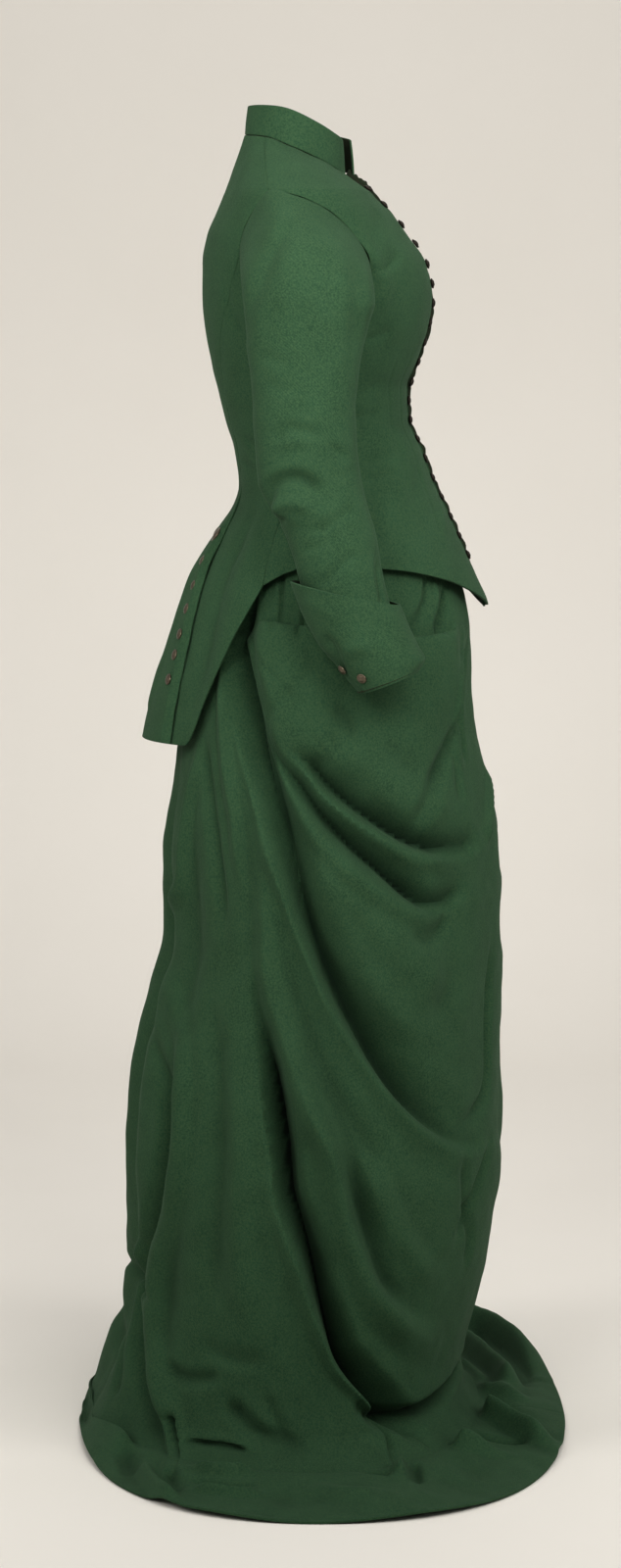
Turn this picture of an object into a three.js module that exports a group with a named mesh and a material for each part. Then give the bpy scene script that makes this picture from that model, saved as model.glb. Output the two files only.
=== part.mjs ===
// A woman's riding habit of about 1885: a fitted tailed jacket over a long draped skirt.
// Millimetres, +Z up. The front of the wearer faces -Y and the wearer's right is -X.
// Heights in the tables are above the floor; the finished group is moved down so that
// the origin lies at the centre of the waist, where the wearer carries the clothes.
import * as THREE from 'three';

// ---------------------------------------------------------------- driving sizes
const WAIST_HEIGHT = 1060;
const CLOTH = 2.2; // thickness of the jacket cloth with its seam turnings
const SKIRT_CLOTH = 2.4;
const SEAM_GAP = 0.3;
const HALF_GAP = SEAM_GAP / 2;
const WOOL_GREEN = 0x2f4f34;
const BUTTON_METAL = 0x8d8779;
const DEG = Math.PI / 180;

// ---------------------------------------------------------------- small helpers
const clamp01 = (x) => Math.min(1, Math.max(0, x));
const lerp = (a, b, t) => a + (b - a) * t;

function smooth(x) {
  const t = clamp01(x);
  return t * t * (3 - 2 * t);
}

function bump(x) {
  // 1 in the middle, 0 at and past plus or minus 1
  return Math.abs(x) >= 1 ? 0 : 0.5 + 0.5 * Math.cos(Math.PI * x);
}

// A table is a list of rows sorted by their first column. `read` gives the other
// columns at any value of the first, through a curve without overshoot.
function slopeAt(rows, i, column) {
  if (i === 0 || i === rows.length - 1) return 0;
  const before = (rows[i][column] - rows[i - 1][column]) / (rows[i][0] - rows[i - 1][0]);
  const after = (rows[i + 1][column] - rows[i][column]) / (rows[i + 1][0] - rows[i][0]);
  return before * after <= 0 ? 0 : (2 * before * after) / (before + after);
}

function endSlope(rows, i, column) {
  const j = i === 0 ? 1 : rows.length - 2;
  return (rows[j][column] - rows[i][column]) / (rows[j][0] - rows[i][0]);
}

function read(rows, at, column) {
  const last = rows.length - 1;
  if (at <= rows[0][0]) return rows[0][column];
  if (at >= rows[last][0]) return rows[last][column];
  let i = 0;
  while (at > rows[i + 1][0]) i += 1;
  const span = rows[i + 1][0] - rows[i][0];
  const t = (at - rows[i][0]) / span;
  const m0 = (i === 0 ? endSlope(rows, 0, column) : slopeAt(rows, i, column)) * span;
  const m1 = (i + 1 === last ? endSlope(rows, last, column) : slopeAt(rows, i + 1, column)) * span;
  const t2 = t * t;
  const t3 = t2 * t;
  return (2 * t3 - 3 * t2 + 1) * rows[i][column] + (t3 - 2 * t2 + t) * m0
    + (3 * t2 - 2 * t3) * rows[i + 1][column] + (t3 - t2) * m1;
}

// ---------------------------------------------------------------- cloth walls
// A wall is a grid of outer points and the unit normals there. The inner side lies one
// cloth thickness below. A ring wall closes on itself from its last column to its first.
function clothWall(points, normals, thickness, ring = false) {
  const rows = points.length;
  const columns = points[0].length;
  const positions = [];
  const index = [];
  for (const side of [0, 1]) {
    for (let j = 0; j < rows; j += 1) {
      for (let i = 0; i < columns; i += 1) {
        const p = points[j][i].clone().addScaledVector(normals[j][i], -side * thickness);
        positions.push(p.x, p.y, p.z);
      }
    }
  }
  const at = (side, j, i) => side * rows * columns + j * columns + (i % columns);
  const quad = (a, b, c, d) => index.push(a, b, c, a, c, d);
  const lastColumn = ring ? columns : columns - 1;
  for (let j = 0; j < rows - 1; j += 1) {
    for (let i = 0; i < lastColumn; i += 1) {
      quad(at(0, j, i), at(0, j, i + 1), at(0, j + 1, i + 1), at(0, j + 1, i));
      quad(at(1, j, i), at(1, j + 1, i), at(1, j + 1, i + 1), at(1, j, i + 1));
    }
  }
  for (let i = 0; i < lastColumn; i += 1) {
    quad(at(0, 0, i), at(1, 0, i), at(1, 0, i + 1), at(0, 0, i + 1));
    const top = rows - 1;
    quad(at(0, top, i), at(0, top, i + 1), at(1, top, i + 1), at(1, top, i));
  }
  if (!ring) {
    for (let j = 0; j < rows - 1; j += 1) {
      quad(at(0, j, 0), at(0, j + 1, 0), at(1, j + 1, 0), at(1, j, 0));
      const end = columns - 1;
      quad(at(0, j, end), at(1, j, end), at(1, j + 1, end), at(0, j + 1, end));
    }
  }
  const geometry = new THREE.BufferGeometry();
  geometry.setAttribute('position', new THREE.Float32BufferAttribute(positions, 3));
  geometry.setIndex(index);
  return facingOut(geometry);
}

function facingOut(geometry) {
  const p = geometry.attributes.position;
  const index = geometry.index.array;
  let volume = 0;
  const corner = [new THREE.Vector3(), new THREE.Vector3(), new THREE.Vector3()];
  for (let k = 0; k < index.length; k += 3) {
    corner.forEach((v, n) => v.fromBufferAttribute(p, index[k + n]));
    volume += corner[0].dot(corner[1].cross(corner[2]));
  }
  if (volume < 0) {
    for (let k = 0; k < index.length; k += 3) {
      [index[k + 1], index[k + 2]] = [index[k + 2], index[k + 1]];
    }
  }
  geometry.computeVertexNormals();
  return geometry;
}

// Normals of a grid of points, taken across neighbouring rows and columns.
function gridNormals(points, ring, outwardSign) {
  const rows = points.length;
  const columns = points[0].length;
  return points.map((row, j) => row.map((point, i) => {
    const left = ring ? row[(i + columns - 1) % columns] : row[Math.max(0, i - 1)];
    const right = ring ? row[(i + 1) % columns] : row[Math.min(columns - 1, i + 1)];
    const below = points[Math.max(0, j - 1)][i];
    const above = points[Math.min(rows - 1, j + 1)][i];
    const across = right.clone().sub(left);
    const up = above.clone().sub(below);
    return across.cross(up).normalize().multiplyScalar(outwardSign);
  }));
}

// Moves the edge columns or rows of a panel half a seam gap into the panel.
function trimSeams(points, sides) {
  const rows = points.length;
  const columns = points[0].length;
  const trimmed = points.map((row) => row.map((p) => p.clone()));
  const pull = (j, i, j2, i2) => {
    const step = points[j2][i2].clone().sub(points[j][i]);
    trimmed[j][i].addScaledVector(step.normalize(), HALF_GAP);
  };
  for (let j = 0; j < rows; j += 1) {
    if (sides.left) pull(j, 0, j, 1);
    if (sides.right) pull(j, columns - 1, j, columns - 2);
  }
  for (let i = 0; i < columns; i += 1) {
    if (sides.bottom) pull(0, i, 1, i);
    if (sides.top) pull(rows - 1, i, rows - 2, i);
  }
  return trimmed;
}

const mirrored = (points) => points.map((row) => row.map((p) => new THREE.Vector3(-p.x, p.y, p.z)));

const habit = new THREE.Group();

function addPiece(name, geometry, color = WOOL_GREEN, roughness = 0.95, metalness = 0) {
  const material = new THREE.MeshStandardMaterial({ color, roughness, metalness });
  material.side = THREE.FrontSide;
  const piece = new THREE.Mesh(geometry, material);
  piece.name = name;
  habit.add(piece);
  return piece;
}

// ---------------------------------------------------------------- the jacket's body
// Columns: height, y of the centre front, y of the centre back, half width, y of the side.
const BODICE = [
  [740, -182, 200, 172, 0],
  [810, -182, 183, 172, 0],
  [850, -181, 170, 171, 0],
  [893, -179, 156, 169, -2],
  [923, -167, 145, 165, -3],
  [944, -157, 135, 161, -2],
  [972, -144, 118, 152, -2],
  [1003, -130, 97, 138, -2],
  [1023, -120, 91, 128, 0],
  [1067, -103, 97, 116, 2],
  [1095, -91, 106, 115, 6],
  [1129, -90, 114, 120, 10],
  [1158, -101, 121, 127, 12],
  [1200, -114, 128, 138, 12],
  [1224, -117, 130, 144, 12],
  [1261, -110, 130, 149, 14],
  [1290, -91, 125, 153, 20],
  [1313, -74, 116, 155, 24],
  [1331, -56, 108, 153, 27],
  [1338, -50, 105, 149, 28],
];
const SHOULDER_ROUND = 5; // how far the shoulder's slope swells above a straight line
// Heights above the shoulder tip are nominal: they run from the ring at the tip up to
// the neckline, which is its own tilted ring. Columns of NECK_LINE: angle, height.
const SHOULDER_TIP_HEIGHT = 1338;
const NECK_SHOULDER_HEIGHT = 1395;
const NECK_LINE = [[0, 1354], [30, 1360], [60, 1371], [90, 1383], [126, 1395], [150, 1397], [180, 1398]];
const NECK = { halfWidth: 57, centreY: 31, front: 55, back: 53 };

function neckPoint(angle) {
  const c = Math.cos(angle * DEG);
  const reach = c > 0 ? NECK.front : NECK.back;
  const x = -NECK.halfWidth * Math.sin(angle * DEG);
  return new THREE.Vector3(x, NECK.centreY - reach * c, read(NECK_LINE, Math.abs(angle), 1));
}

// A point on the right half of the body, at an angle from 0 at the centre front to 180
// at the centre back, and a height.
function bodicePoint(angle, nominal) {
  const height = Math.min(nominal, SHOULDER_TIP_HEIGHT);
  const centre = read(BODICE, height, 4);
  const c = Math.cos(angle * DEG);
  const reach = c > 0 ? centre - read(BODICE, height, 1) : read(BODICE, height, 2) - centre;
  const x = -read(BODICE, height, 3) * Math.sin(angle * DEG);
  const onRing = new THREE.Vector3(x, centre - reach * c, height);
  const rise = (nominal - SHOULDER_TIP_HEIGHT) / (NECK_SHOULDER_HEIGHT - SHOULDER_TIP_HEIGHT);
  if (rise <= 0) return onRing;
  const swell = SHOULDER_ROUND * Math.sin(Math.PI * rise) * Math.sin(angle * DEG) ** 2;
  return onRing.lerp(neckPoint(angle), rise).add(new THREE.Vector3(0, 0, swell));
}

function surfaceNormal(surface, a, b, stepA, stepB) {
  const across = surface(a + stepA, b).sub(surface(a - stepA, b));
  const up = surface(a, b + stepB).sub(surface(a, b - stepB));
  return across.cross(up).normalize();
}

function bodiceNormal(angle, height) {
  const n = surfaceNormal(bodicePoint, angle, height, 0.5, 1.5);
  const outward = new THREE.Vector3(-Math.sin(angle * DEG), -Math.cos(angle * DEG), 0);
  return n.dot(outward) < 0 ? n.negate() : n;
}

// Seams of the right half. Columns: height, angle.
const UNDERARM_HEIGHT = 1222; // of the armhole at the side seam
const UNDERARM_BACK = 1228; // and at the seam behind it
const BACK_SEAM_TOP = 1268;
const SIDE_SEAM = [[890, 84], [1060, 80], [UNDERARM_HEIGHT, 86]];
const UNDERARM_SEAM = [[890, 117], [960, 117], [1060, 118], [1160, 114], [UNDERARM_BACK, 114]];
const PLEAT_TOP = 998;
const BACK_SEAM = [
  [PLEAT_TOP, 166], [1040, 164], [1120, 158], [1172, 151], [1221, 140], [BACK_SEAM_TOP, 130],
];
const FRONT_ARMHOLE = [
  [UNDERARM_HEIGHT, 86], [1230, 72], [1246, 62], [1268, 59], [1292, 62], [1314, 70],
  [1328, 84], [1333, 94], [SHOULDER_TIP_HEIGHT, 113],
];
const BACK_ARMHOLE = [
  [UNDERARM_BACK, 114], [1238, 121], [1252, 127], [BACK_SEAM_TOP, 130], [1290, 129], [1314, 124],
  [SHOULDER_TIP_HEIGHT, 113],
];
const SHOULDER_SEAM = [[SHOULDER_TIP_HEIGHT, 113], [1366, 119], [NECK_SHOULDER_HEIGHT, 126]];

// Hem of the jacket in front and at the side. Columns: angle, height.
const FRONT_HEM_CENTRE = 893;
const FRONT_HEM_SIDE = 946;
const SIDE_HEM_BACK = 925;
const FRONT_HEM = [
  [0, FRONT_HEM_CENTRE], [8, 895], [22, 908], [40, 926], [62, 940], [84, FRONT_HEM_SIDE],
];
const SIDE_HEM = [[84, FRONT_HEM_SIDE], [96, 946], [108, 938], [117, SIDE_HEM_BACK]];
const LAP_ANGLE = -7; // how far the right front passes over the left

// Heights of a panel's rows on one of its seams, given the hem and the top.
const BASQUE_ROWS = 5;
const WAIST_ROWS = [1060, 1092, 1125, 1158, 1190];
function seamHeights(hem, top) {
  const heights = [];
  for (let k = 0; k < BASQUE_ROWS; k += 1) {
    heights.push(lerp(hem, WAIST_ROWS[0], k / BASQUE_ROWS));
  }
  return heights.concat(WAIST_ROWS, [top]);
}

// A panel between two seams: rows of [angle, height] at each side. `hem` gives the height
// of the lowest row where it isn't straight.
function panelGrid(leftEdge, rightEdge, columns, hem) {
  return leftEdge.map((left, j) => {
    const right = rightEdge[j];
    const row = [];
    for (let i = 0; i <= columns; i += 1) {
      const u = i / columns;
      const angle = lerp(left[0], right[0], u);
      let height = lerp(left[1], right[1], u);
      if (hem && j < BASQUE_ROWS) {
        const dip = hem(u) - lerp(leftEdge[0][1], rightEdge[0][1], u);
        height += dip * (1 - j / BASQUE_ROWS);
      }
      row.push([angle, height]);
    }
    return row;
  });
}

function bodicePanel(grid, seams, lift = () => 0) {
  const normals = grid.map((row) => row.map(([a, h]) => bodiceNormal(a, h)));
  const points = grid.map((row, j) => row.map(([a, h], i) => (
    bodicePoint(a, h).addScaledVector(normals[j][i], lift(a, h)))));
  return { points: trimSeams(points, seams), normals };
}

function addPair(name, panel, rightPanel = panel) {
  addPiece(`${name}_right`, clothWall(rightPanel.points, rightPanel.normals, CLOTH));
  const left = clothWall(mirrored(panel.points), mirrored(panel.normals), CLOTH);
  addPiece(`${name}_left`, left);
}

// ---- fronts
const FRONT_COLUMNS = 9;
const ARMHOLE_ROWS = [1236, 1256, 1280, 1304, 1322, 1333];
const SHOULDER_ROWS = [SHOULDER_TIP_HEIGHT, 1366, NECK_SHOULDER_HEIGHT];
function frontGrid(centreAngle) {
  const outer = seamHeights(FRONT_HEM_SIDE, UNDERARM_HEIGHT).map((h) => [read(SIDE_SEAM, h, 1), h]);
  ARMHOLE_ROWS.forEach((h) => outer.push([read(FRONT_ARMHOLE, h, 1), h]));
  SHOULDER_ROWS.forEach((h) => outer.push([read(SHOULDER_SEAM, h, 1), h]));
  const centre = seamHeights(FRONT_HEM_CENTRE, UNDERARM_HEIGHT).map((h) => [centreAngle, h]);
  ARMHOLE_ROWS.concat(SHOULDER_ROWS).forEach((h) => centre.push([centreAngle, h]));
  const hem = (u) => read(FRONT_HEM, lerp(0, FRONT_HEM[FRONT_HEM.length - 1][0], u), 1);
  return panelGrid(centre, outer, FRONT_COLUMNS, hem);
}

const UNDER_LAP = CLOTH + 1.2; // how far the left front's edge lies under the right one
const LAP_FADE = [12, 32]; // angles between which it comes out to the same surface
const leftFront = bodicePanel(frontGrid(0), { right: true, top: true },
  (angle) => -UNDER_LAP * (1 - smooth((angle - LAP_FADE[0]) / (LAP_FADE[1] - LAP_FADE[0]))));
const rightFront = bodicePanel(frontGrid(LAP_ANGLE), { right: true, top: true });
addPair('front', leftFront, rightFront);

// ---- underarm sides
const SIDE_COLUMNS = 3;
{
  const front = seamHeights(FRONT_HEM_SIDE, UNDERARM_HEIGHT).map((h) => [read(SIDE_SEAM, h, 1), h]);
  const back = seamHeights(SIDE_HEM_BACK, UNDERARM_BACK).map((h) => [read(UNDERARM_SEAM, h, 1), h]);
  const hem = (u) => read(SIDE_HEM, lerp(SIDE_HEM[0][0], SIDE_HEM[SIDE_HEM.length - 1][0], u), 1);
  const grid = panelGrid(front, back, SIDE_COLUMNS, hem);
  addPair('side', bodicePanel(grid, { left: true, right: true, top: true }));
}

// ---- side backs with their tails
// The tail's hem across the side back. Columns: share of the width, height.
const TAIL_HEM = [[0, SIDE_HEM_BACK], [0.18, 880], [0.42, 805], [0.62, 752], [1, 752]];
const SIDE_BACK_COLUMNS = 5;
const TAIL_HEIGHT = 752;
const TAIL_SPREAD = [[TAIL_HEIGHT, 157], [850, 160], [PLEAT_TOP, 166]];
const TAIL_TUCK = 9; // how far the side tail lies under the centre tail
const TAIL_TUCK_TOP = 1032;
const TAIL_TUCK_DEEPENS = 90; // in millimetres of height
const TAIL_TUCK_FROM = 128;
const TAIL_TUCK_TURN = 14; // in degrees
{
  const front = seamHeights(SIDE_HEM_BACK, UNDERARM_BACK).map((h) => [read(UNDERARM_SEAM, h, 1), h]);
  const back = seamHeights(TAIL_HEIGHT, BACK_SEAM_TOP).map((h) => (
    [h < PLEAT_TOP ? read(TAIL_SPREAD, h, 1) : read(BACK_SEAM, h, 1), h]));
  const hem = (u) => read(TAIL_HEM, u, 1);
  const grid = panelGrid(front, back, SIDE_BACK_COLUMNS, hem);
  const tuck = (angle, height) => -TAIL_TUCK * smooth((TAIL_TUCK_TOP - height) / TAIL_TUCK_DEEPENS)
    * smooth((angle - TAIL_TUCK_FROM) / TAIL_TUCK_TURN);
  addPair('side_back', bodicePanel(grid, { left: true, right: true, top: true }, tuck));
}

// ---- centre backs
const BACK_COLUMNS = 4;
const PLEAT_OVERLAP = [[TAIL_HEIGHT, 149], [850, 153], [PLEAT_TOP, 166]];
const BACK_ARMHOLE_ROWS = [1290, 1314];
// The pleat's folded edge lies down on the tail beneath it.
const PLEAT_DROP = TAIL_TUCK - CLOTH - 0.9;
const PLEAT_EDGE = 8; // degrees over which it comes down
const PLEAT_DROP_TOP = 1005;
const PLEAT_DEEPENS = 60;
function pleatLift(angle, height) {
  const near = smooth((read(PLEAT_OVERLAP, height, 1) + PLEAT_EDGE - angle) / PLEAT_EDGE);
  return -PLEAT_DROP * near * smooth((PLEAT_DROP_TOP - height) / PLEAT_DEEPENS);
}

{
  const outer = seamHeights(TAIL_HEIGHT, BACK_SEAM_TOP).map((h) => (
    [h < PLEAT_TOP ? read(PLEAT_OVERLAP, h, 1) : read(BACK_SEAM, h, 1), h]));
  BACK_ARMHOLE_ROWS.forEach((h) => outer.push([read(BACK_ARMHOLE, h, 1), h]));
  SHOULDER_ROWS.forEach((h) => outer.push([read(SHOULDER_SEAM, h, 1), h]));
  const centre = outer.map(([, h]) => [180, h]);
  const grid = panelGrid(outer, centre, BACK_COLUMNS);
  addPair('back', bodicePanel(grid, { left: true, right: true, top: true }, pleatLift));
}

// ---- stand collar
const COLLAR_RISE = [[0, 37], [45, 38], [90, 39], [126, 33], [180, 30]];
const COLLAR_LEAN = 3;
const COLLAR_OPENING = 4;
const COLLAR_GAP = 0.5;
{
  const columns = 24;
  const points = [0, 0.5, 1].map((v) => {
    const row = [];
    for (let i = 0; i <= columns; i += 1) {
      const turn = lerp(COLLAR_OPENING, 360 - COLLAR_OPENING, i / columns);
      const angle = turn > 180 ? 360 - turn : turn;
      const p = neckPoint(angle);
      const inward = new THREE.Vector3(-p.x, NECK.centreY - p.y, 0).normalize();
      p.addScaledVector(inward, COLLAR_LEAN * v);
      p.z += COLLAR_GAP + read(COLLAR_RISE, angle, 1) * v;
      if (turn > 180) p.x = -p.x;
      row.push(p);
    }
    return row;
  });
  addPiece('collar', clothWall(points, gridNormals(points, false, 1), CLOTH));
}

// ---------------------------------------------------------------- sleeves and cuffs
// The armhole, from the shoulder tip down its front, under the arm and up its back.
const armhole = [];
[...ARMHOLE_ROWS, SHOULDER_TIP_HEIGHT].reverse().forEach((h) => (
  armhole.push(bodicePoint(read(FRONT_ARMHOLE, h, 1), h))));
const SIDE_TOP = read(SIDE_SEAM, UNDERARM_HEIGHT, 1);
const UNDERARM_TOP = read(UNDERARM_SEAM, UNDERARM_BACK, 1);
const BACK_TOP = read(BACK_SEAM, BACK_SEAM_TOP, 1);
for (let i = 0; i <= SIDE_COLUMNS; i += 1) {
  const u = i / SIDE_COLUMNS;
  armhole.push(bodicePoint(lerp(SIDE_TOP, UNDERARM_TOP, u), lerp(UNDERARM_HEIGHT, UNDERARM_BACK, u)));
}
for (let i = 1; i <= SIDE_BACK_COLUMNS; i += 1) {
  const u = i / SIDE_BACK_COLUMNS;
  armhole.push(bodicePoint(lerp(UNDERARM_TOP, BACK_TOP, u), lerp(UNDERARM_BACK, BACK_SEAM_TOP, u)));
}
BACK_ARMHOLE_ROWS.forEach((h) => armhole.push(bodicePoint(read(BACK_ARMHOLE, h, 1), h)));

// A tube's sections. Columns: share of the length, back y, back z, front y, front z,
// x of the middle, half width across.
const SLEEVE = [
  [0, 84, 1212, -53, 1218, -197, 46],
  [0.1, 80, 1176, -45, 1190, -199, 45],
  [0.2, 75, 1134, -36, 1148, -202, 44],
  [0.3, 73, 1094, -33, 1105, -205, 44],
  [0.38, 71, 1062, -35, 1068, -207, 43],
  [0.43, 69, 1042, -38, 1046, -208, 43],
  [0.48, 66, 1022, -42, 1026, -210, 43],
  [0.53, 60, 1004, -47, 1008, -212, 43],
  [0.58, 44, 990, -53, 986, -214, 41],
  [0.66, 33, 964, -60, 953, -218, 40],
  [0.74, 25, 934, -66, 920, -222, 38],
  [0.85, 4, 890, -80, 880, -228, 35],
  [1, -34, 838, -90, 853, -234, 30],
];
const CUFF = [
  [0, 34, 934, -78, 911, -228, 50],
  [0.3, 22, 902, -87, 890, -231, 47],
  [0.55, 9, 876, -97, 868, -234, 44],
  [0.8, -14, 845, -104, 855, -236, 41],
  [1, -37, 819, -98, 843, -238, 36],
];
const CUFF_TURN = 3;

function tubePoint(sections, along, turn) {
  // turn is 0 at the back, 90 on the outside, 180 in front and 270 towards the body
  const [backY, backZ, frontY, frontZ, x, half] = [1, 2, 3, 4, 5, 6].map((c) => read(sections, along, c));
  const c = Math.cos(turn * DEG);
  const y = (backY + frontY) / 2 + ((backY - frontY) / 2) * c;
  const z = (backZ + frontZ) / 2 + ((backZ - frontZ) / 2) * c;
  return new THREE.Vector3(x - half * Math.sin(turn * DEG), y, z);
}

// Creases of the sleeve's outer side. Columns: y and z at its two ends and its middle,
// width, depth (a ridge has a negative one).
const SLEEVE_CREASES = [
  { from: [58, 1008], middle: [44, 1037], to: [4, 1028], width: 13, depth: 6 },
  { from: [52, 1012], middle: [30, 1014], to: [6, 1008], width: 14, depth: -5 },
  { from: [46, 1083], middle: [27, 1092], to: [0, 1083], width: 14, depth: 2.5 },
  { from: [-24, 1062], middle: [-14, 1069], to: [-4, 1075], width: 14, depth: 2.5 },
  { from: [37, 1300], middle: [58, 1262], to: [78, 1215], width: 18, depth: 4 },
  { from: [12, 985], middle: [-4, 997], to: [-20, 1004], width: 15, depth: 2.5 },
];

function distanceTo(crease, y, z) {
  let best = Infinity;
  let share = 0;
  const path = [crease.from, crease.middle, crease.to];
  for (let k = 0; k < 2; k += 1) {
    const [ay, az] = path[k];
    const [by, bz] = path[k + 1];
    const length2 = (by - ay) ** 2 + (bz - az) ** 2;
    const t = clamp01(((y - ay) * (by - ay) + (z - az) * (bz - az)) / length2);
    const d = Math.hypot(y - lerp(ay, by, t), z - lerp(az, bz, t));
    if (d < best) {
      best = d;
      share = (k + t) / 2;
    }
  }
  return { distance: best, share };
}

function creaseDepth(creases, y, z) {
  return creases.reduce((sum, crease) => {
    const { distance, share } = distanceTo(crease, y, z);
    const ends = smooth(4 * share) * smooth(4 * (1 - share));
    return sum + crease.depth * bump(distance / crease.width) * (0.35 + 0.65 * ends);
  }, 0);
}

const CAP_ROWS = [0, 0.16, 0.34, 0.54, 0.76];
const SLEEVE_ROWS = [0, 0.08, 0.18, 0.28, 0.36, 0.42, 0.455, 0.49, 0.525, 0.56, 0.61, 0.69, 0.8, 1];
const sleeveColumns = armhole.length;
const armholeCentre = armhole.reduce((sum, p) => sum.add(p), new THREE.Vector3()).divideScalar(sleeveColumns);
const armholeTurns = armhole.map((p) => {
  const turn = Math.atan2(p.z - armholeCentre.z, p.y - armholeCentre.y) / DEG;
  return turn < 60 ? turn + 360 : turn;
});
const evenTurns = armhole.map((p, i) => 90 + (360 * (i + 0.35)) / sleeveColumns);

// The cap leaves the armhole outwards, drops with the shoulder's slope and arrives
// straight down on the first ring of the tube. Shares of the reach in x, y and z.
const CAP_LEAVES = new THREE.Vector3(0.5, 0.25, 0.02);
const CAP_ARRIVES = new THREE.Vector3(0, 0.2, 0.5);
const CAP_SLOPE = 0.7;
const CAP_SLOPE_FROM = 1240;
const CAP_SLOPE_FULL = 1330;
const CAP_INSET = 0.5;
function capPoint(hole, end, t) {
  const inset = armholeCentre.clone().sub(hole).normalize().multiplyScalar(CAP_INSET);
  const start = hole.clone().add(inset);
  const reach = end.clone().sub(start);
  const sloped = smooth((start.z - CAP_SLOPE_FROM) / (CAP_SLOPE_FULL - CAP_SLOPE_FROM));
  const drop = CAP_SLOPE * Math.abs(reach.x) * sloped;
  const leave = start.clone().add(reach.clone().multiply(CAP_LEAVES));
  leave.z -= drop / 2;
  const arrive = end.clone().sub(reach.clone().multiply(CAP_ARRIVES));
  const s = 1 - t;
  return start.multiplyScalar(s ** 3).addScaledVector(leave, 3 * t * s ** 2)
    .addScaledVector(arrive, 3 * t ** 2 * s).addScaledVector(end, t ** 3);
}

function sleeveRows() {
  const rows = [];
  const firstRing = armholeTurns.map((turn) => tubePoint(SLEEVE, 0, turn));
  CAP_ROWS.forEach((t) => rows.push(armhole.map((hole, i) => capPoint(hole, firstRing[i], t))));
  SLEEVE_ROWS.forEach((along, j) => rows.push(armholeTurns.map((turn, i) => (
    tubePoint(SLEEVE, along, lerp(turn, evenTurns[i], smooth(j / 4)))))));
  return rows;
}

const sleeveSmooth = sleeveRows();
const sleeveNormals = gridNormals(sleeveSmooth, true, -1);
const sleevePoints = sleeveSmooth.map((row, j) => row.map((p, i) => {
  const outside = smooth((-p.x - 190) / 25) * smooth(j / 2);
  return p.clone().addScaledVector(sleeveNormals[j][i], -outside * creaseDepth(SLEEVE_CREASES, p.y, p.z));
}));
const FRONT_SLEEVE_SEAM = 7; // column of the seam in front of the arm
const BACK_SLEEVE_SEAM = 14;

function columnSlice(rows, first, last) {
  return rows.map((row) => {
    const slice = [];
    for (let i = first; i <= last; i += 1) slice.push(row[i % row.length]);
    return slice;
  });
}

function sleevePiece(name, first, last) {
  const points = trimSeams(columnSlice(sleevePoints, first, last), { left: true, right: true });
  addPair(name, { points, normals: columnSlice(sleeveNormals, first, last) });
}

sleevePiece('under_sleeve', FRONT_SLEEVE_SEAM, BACK_SLEEVE_SEAM);
sleevePiece('upper_sleeve', BACK_SLEEVE_SEAM, FRONT_SLEEVE_SEAM + sleeveColumns);

{
  const columns = 20;
  const turns = Array.from({ length: columns }, (_, i) => (360 * i) / columns);
  const rows = [0, 0.2, 0.4, 0.6, 0.8, 1].map((along) => turns.map((turn) => tubePoint(CUFF, along, turn)));
  const wristEnd = turns.map((turn) => tubePoint(SLEEVE, 1, turn));
  const down = new THREE.Vector3(0, -0.55, -0.83);
  rows.push(wristEnd.map((p) => p.clone().addScaledVector(down, CUFF_TURN)));
  const normals = gridNormals(rows, true, -1);
  normals[rows.length - 1].forEach((n) => n.copy(down));
  const cuff = (points, turned) => clothWall(points, turned, CLOTH, true);
  addPiece('cuff_right', cuff(rows, normals));
  addPiece('cuff_left', cuff(mirrored(rows), mirrored(normals)));
}

// ---------------------------------------------------------------- the skirt
// Columns: height, y of the front, y of the back, reach to the right, reach to the left,
// y of the widest place. They are written from the waist down.
const SKIRT = [
  [1035, -97, 84, 107, 107, 0],
  [1015, -104, 86, 120, 120, -2],
  [980, -122, 98, 138, 138, -4],
  [945, -139, 111, 149, 149, -6],
  [900, -154, 126, 157, 156, -6],
  [870, -159, 134, 161, 160, -5],
  [840, -160, 141, 167, 165, -4],
  [800, -161, 149, 180, 172, -2],
  [760, -166, 155, 192, 182, 0],
  [700, -180, 162, 206, 198, 2],
  [637, -193, 167, 214, 212, 2],
  [595, -196, 166, 218, 222, 2],
  [539, -195, 163, 222, 236, 2],
  [475, -195, 179, 226, 252, 4],
  [416, -194, 194, 232, 268, 6],
  [352, -196, 204, 240, 284, 8],
  [300, -197, 207, 246, 298, 8],
  [240, -189, 206, 250, 312, 8],
  [180, -179, 205, 254, 324, 8],
  [127, -166, 213, 258, 334, 8],
  [80, -155, 230, 262, 342, 6],
  [45, -154, 242, 270, 358, 4],
  [28, -162, 250, 286, 384, 2],
  [14, -176, 258, 322, 428, 0],
].reverse();
const HEM = { front: 265, back: 266, right: 458, left: 566 };
const HEM_FULLNESS = 2.35; // 2 is an ellipse, and more is fuller towards the corners
const FLOOR_CLEARANCE = 0.2;

function skirtRing(angle, height) {
  const middle = read(SKIRT, height, 5);
  const c = Math.cos(angle * DEG);
  const s = Math.sin(angle * DEG);
  const reachY = c > 0 ? middle - read(SKIRT, height, 1) : read(SKIRT, height, 2) - middle;
  const reachX = s > 0 ? read(SKIRT, height, 3) : read(SKIRT, height, 4);
  return new THREE.Vector3(-reachX * s, middle - reachY * c, height);
}

function hemPoint(angle) {
  const c = Math.cos(angle * DEG);
  const s = Math.sin(angle * DEG);
  const fuller = (Math.abs(c) ** HEM_FULLNESS + Math.abs(s) ** HEM_FULLNESS) ** (-1 / HEM_FULLNESS);
  const [reachX, reachY] = [s > 0 ? HEM.right : HEM.left, c > 0 ? HEM.front : HEM.back];
  return new THREE.Vector3(-reachX * s * fuller, -reachY * c * fuller, 0);
}

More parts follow.
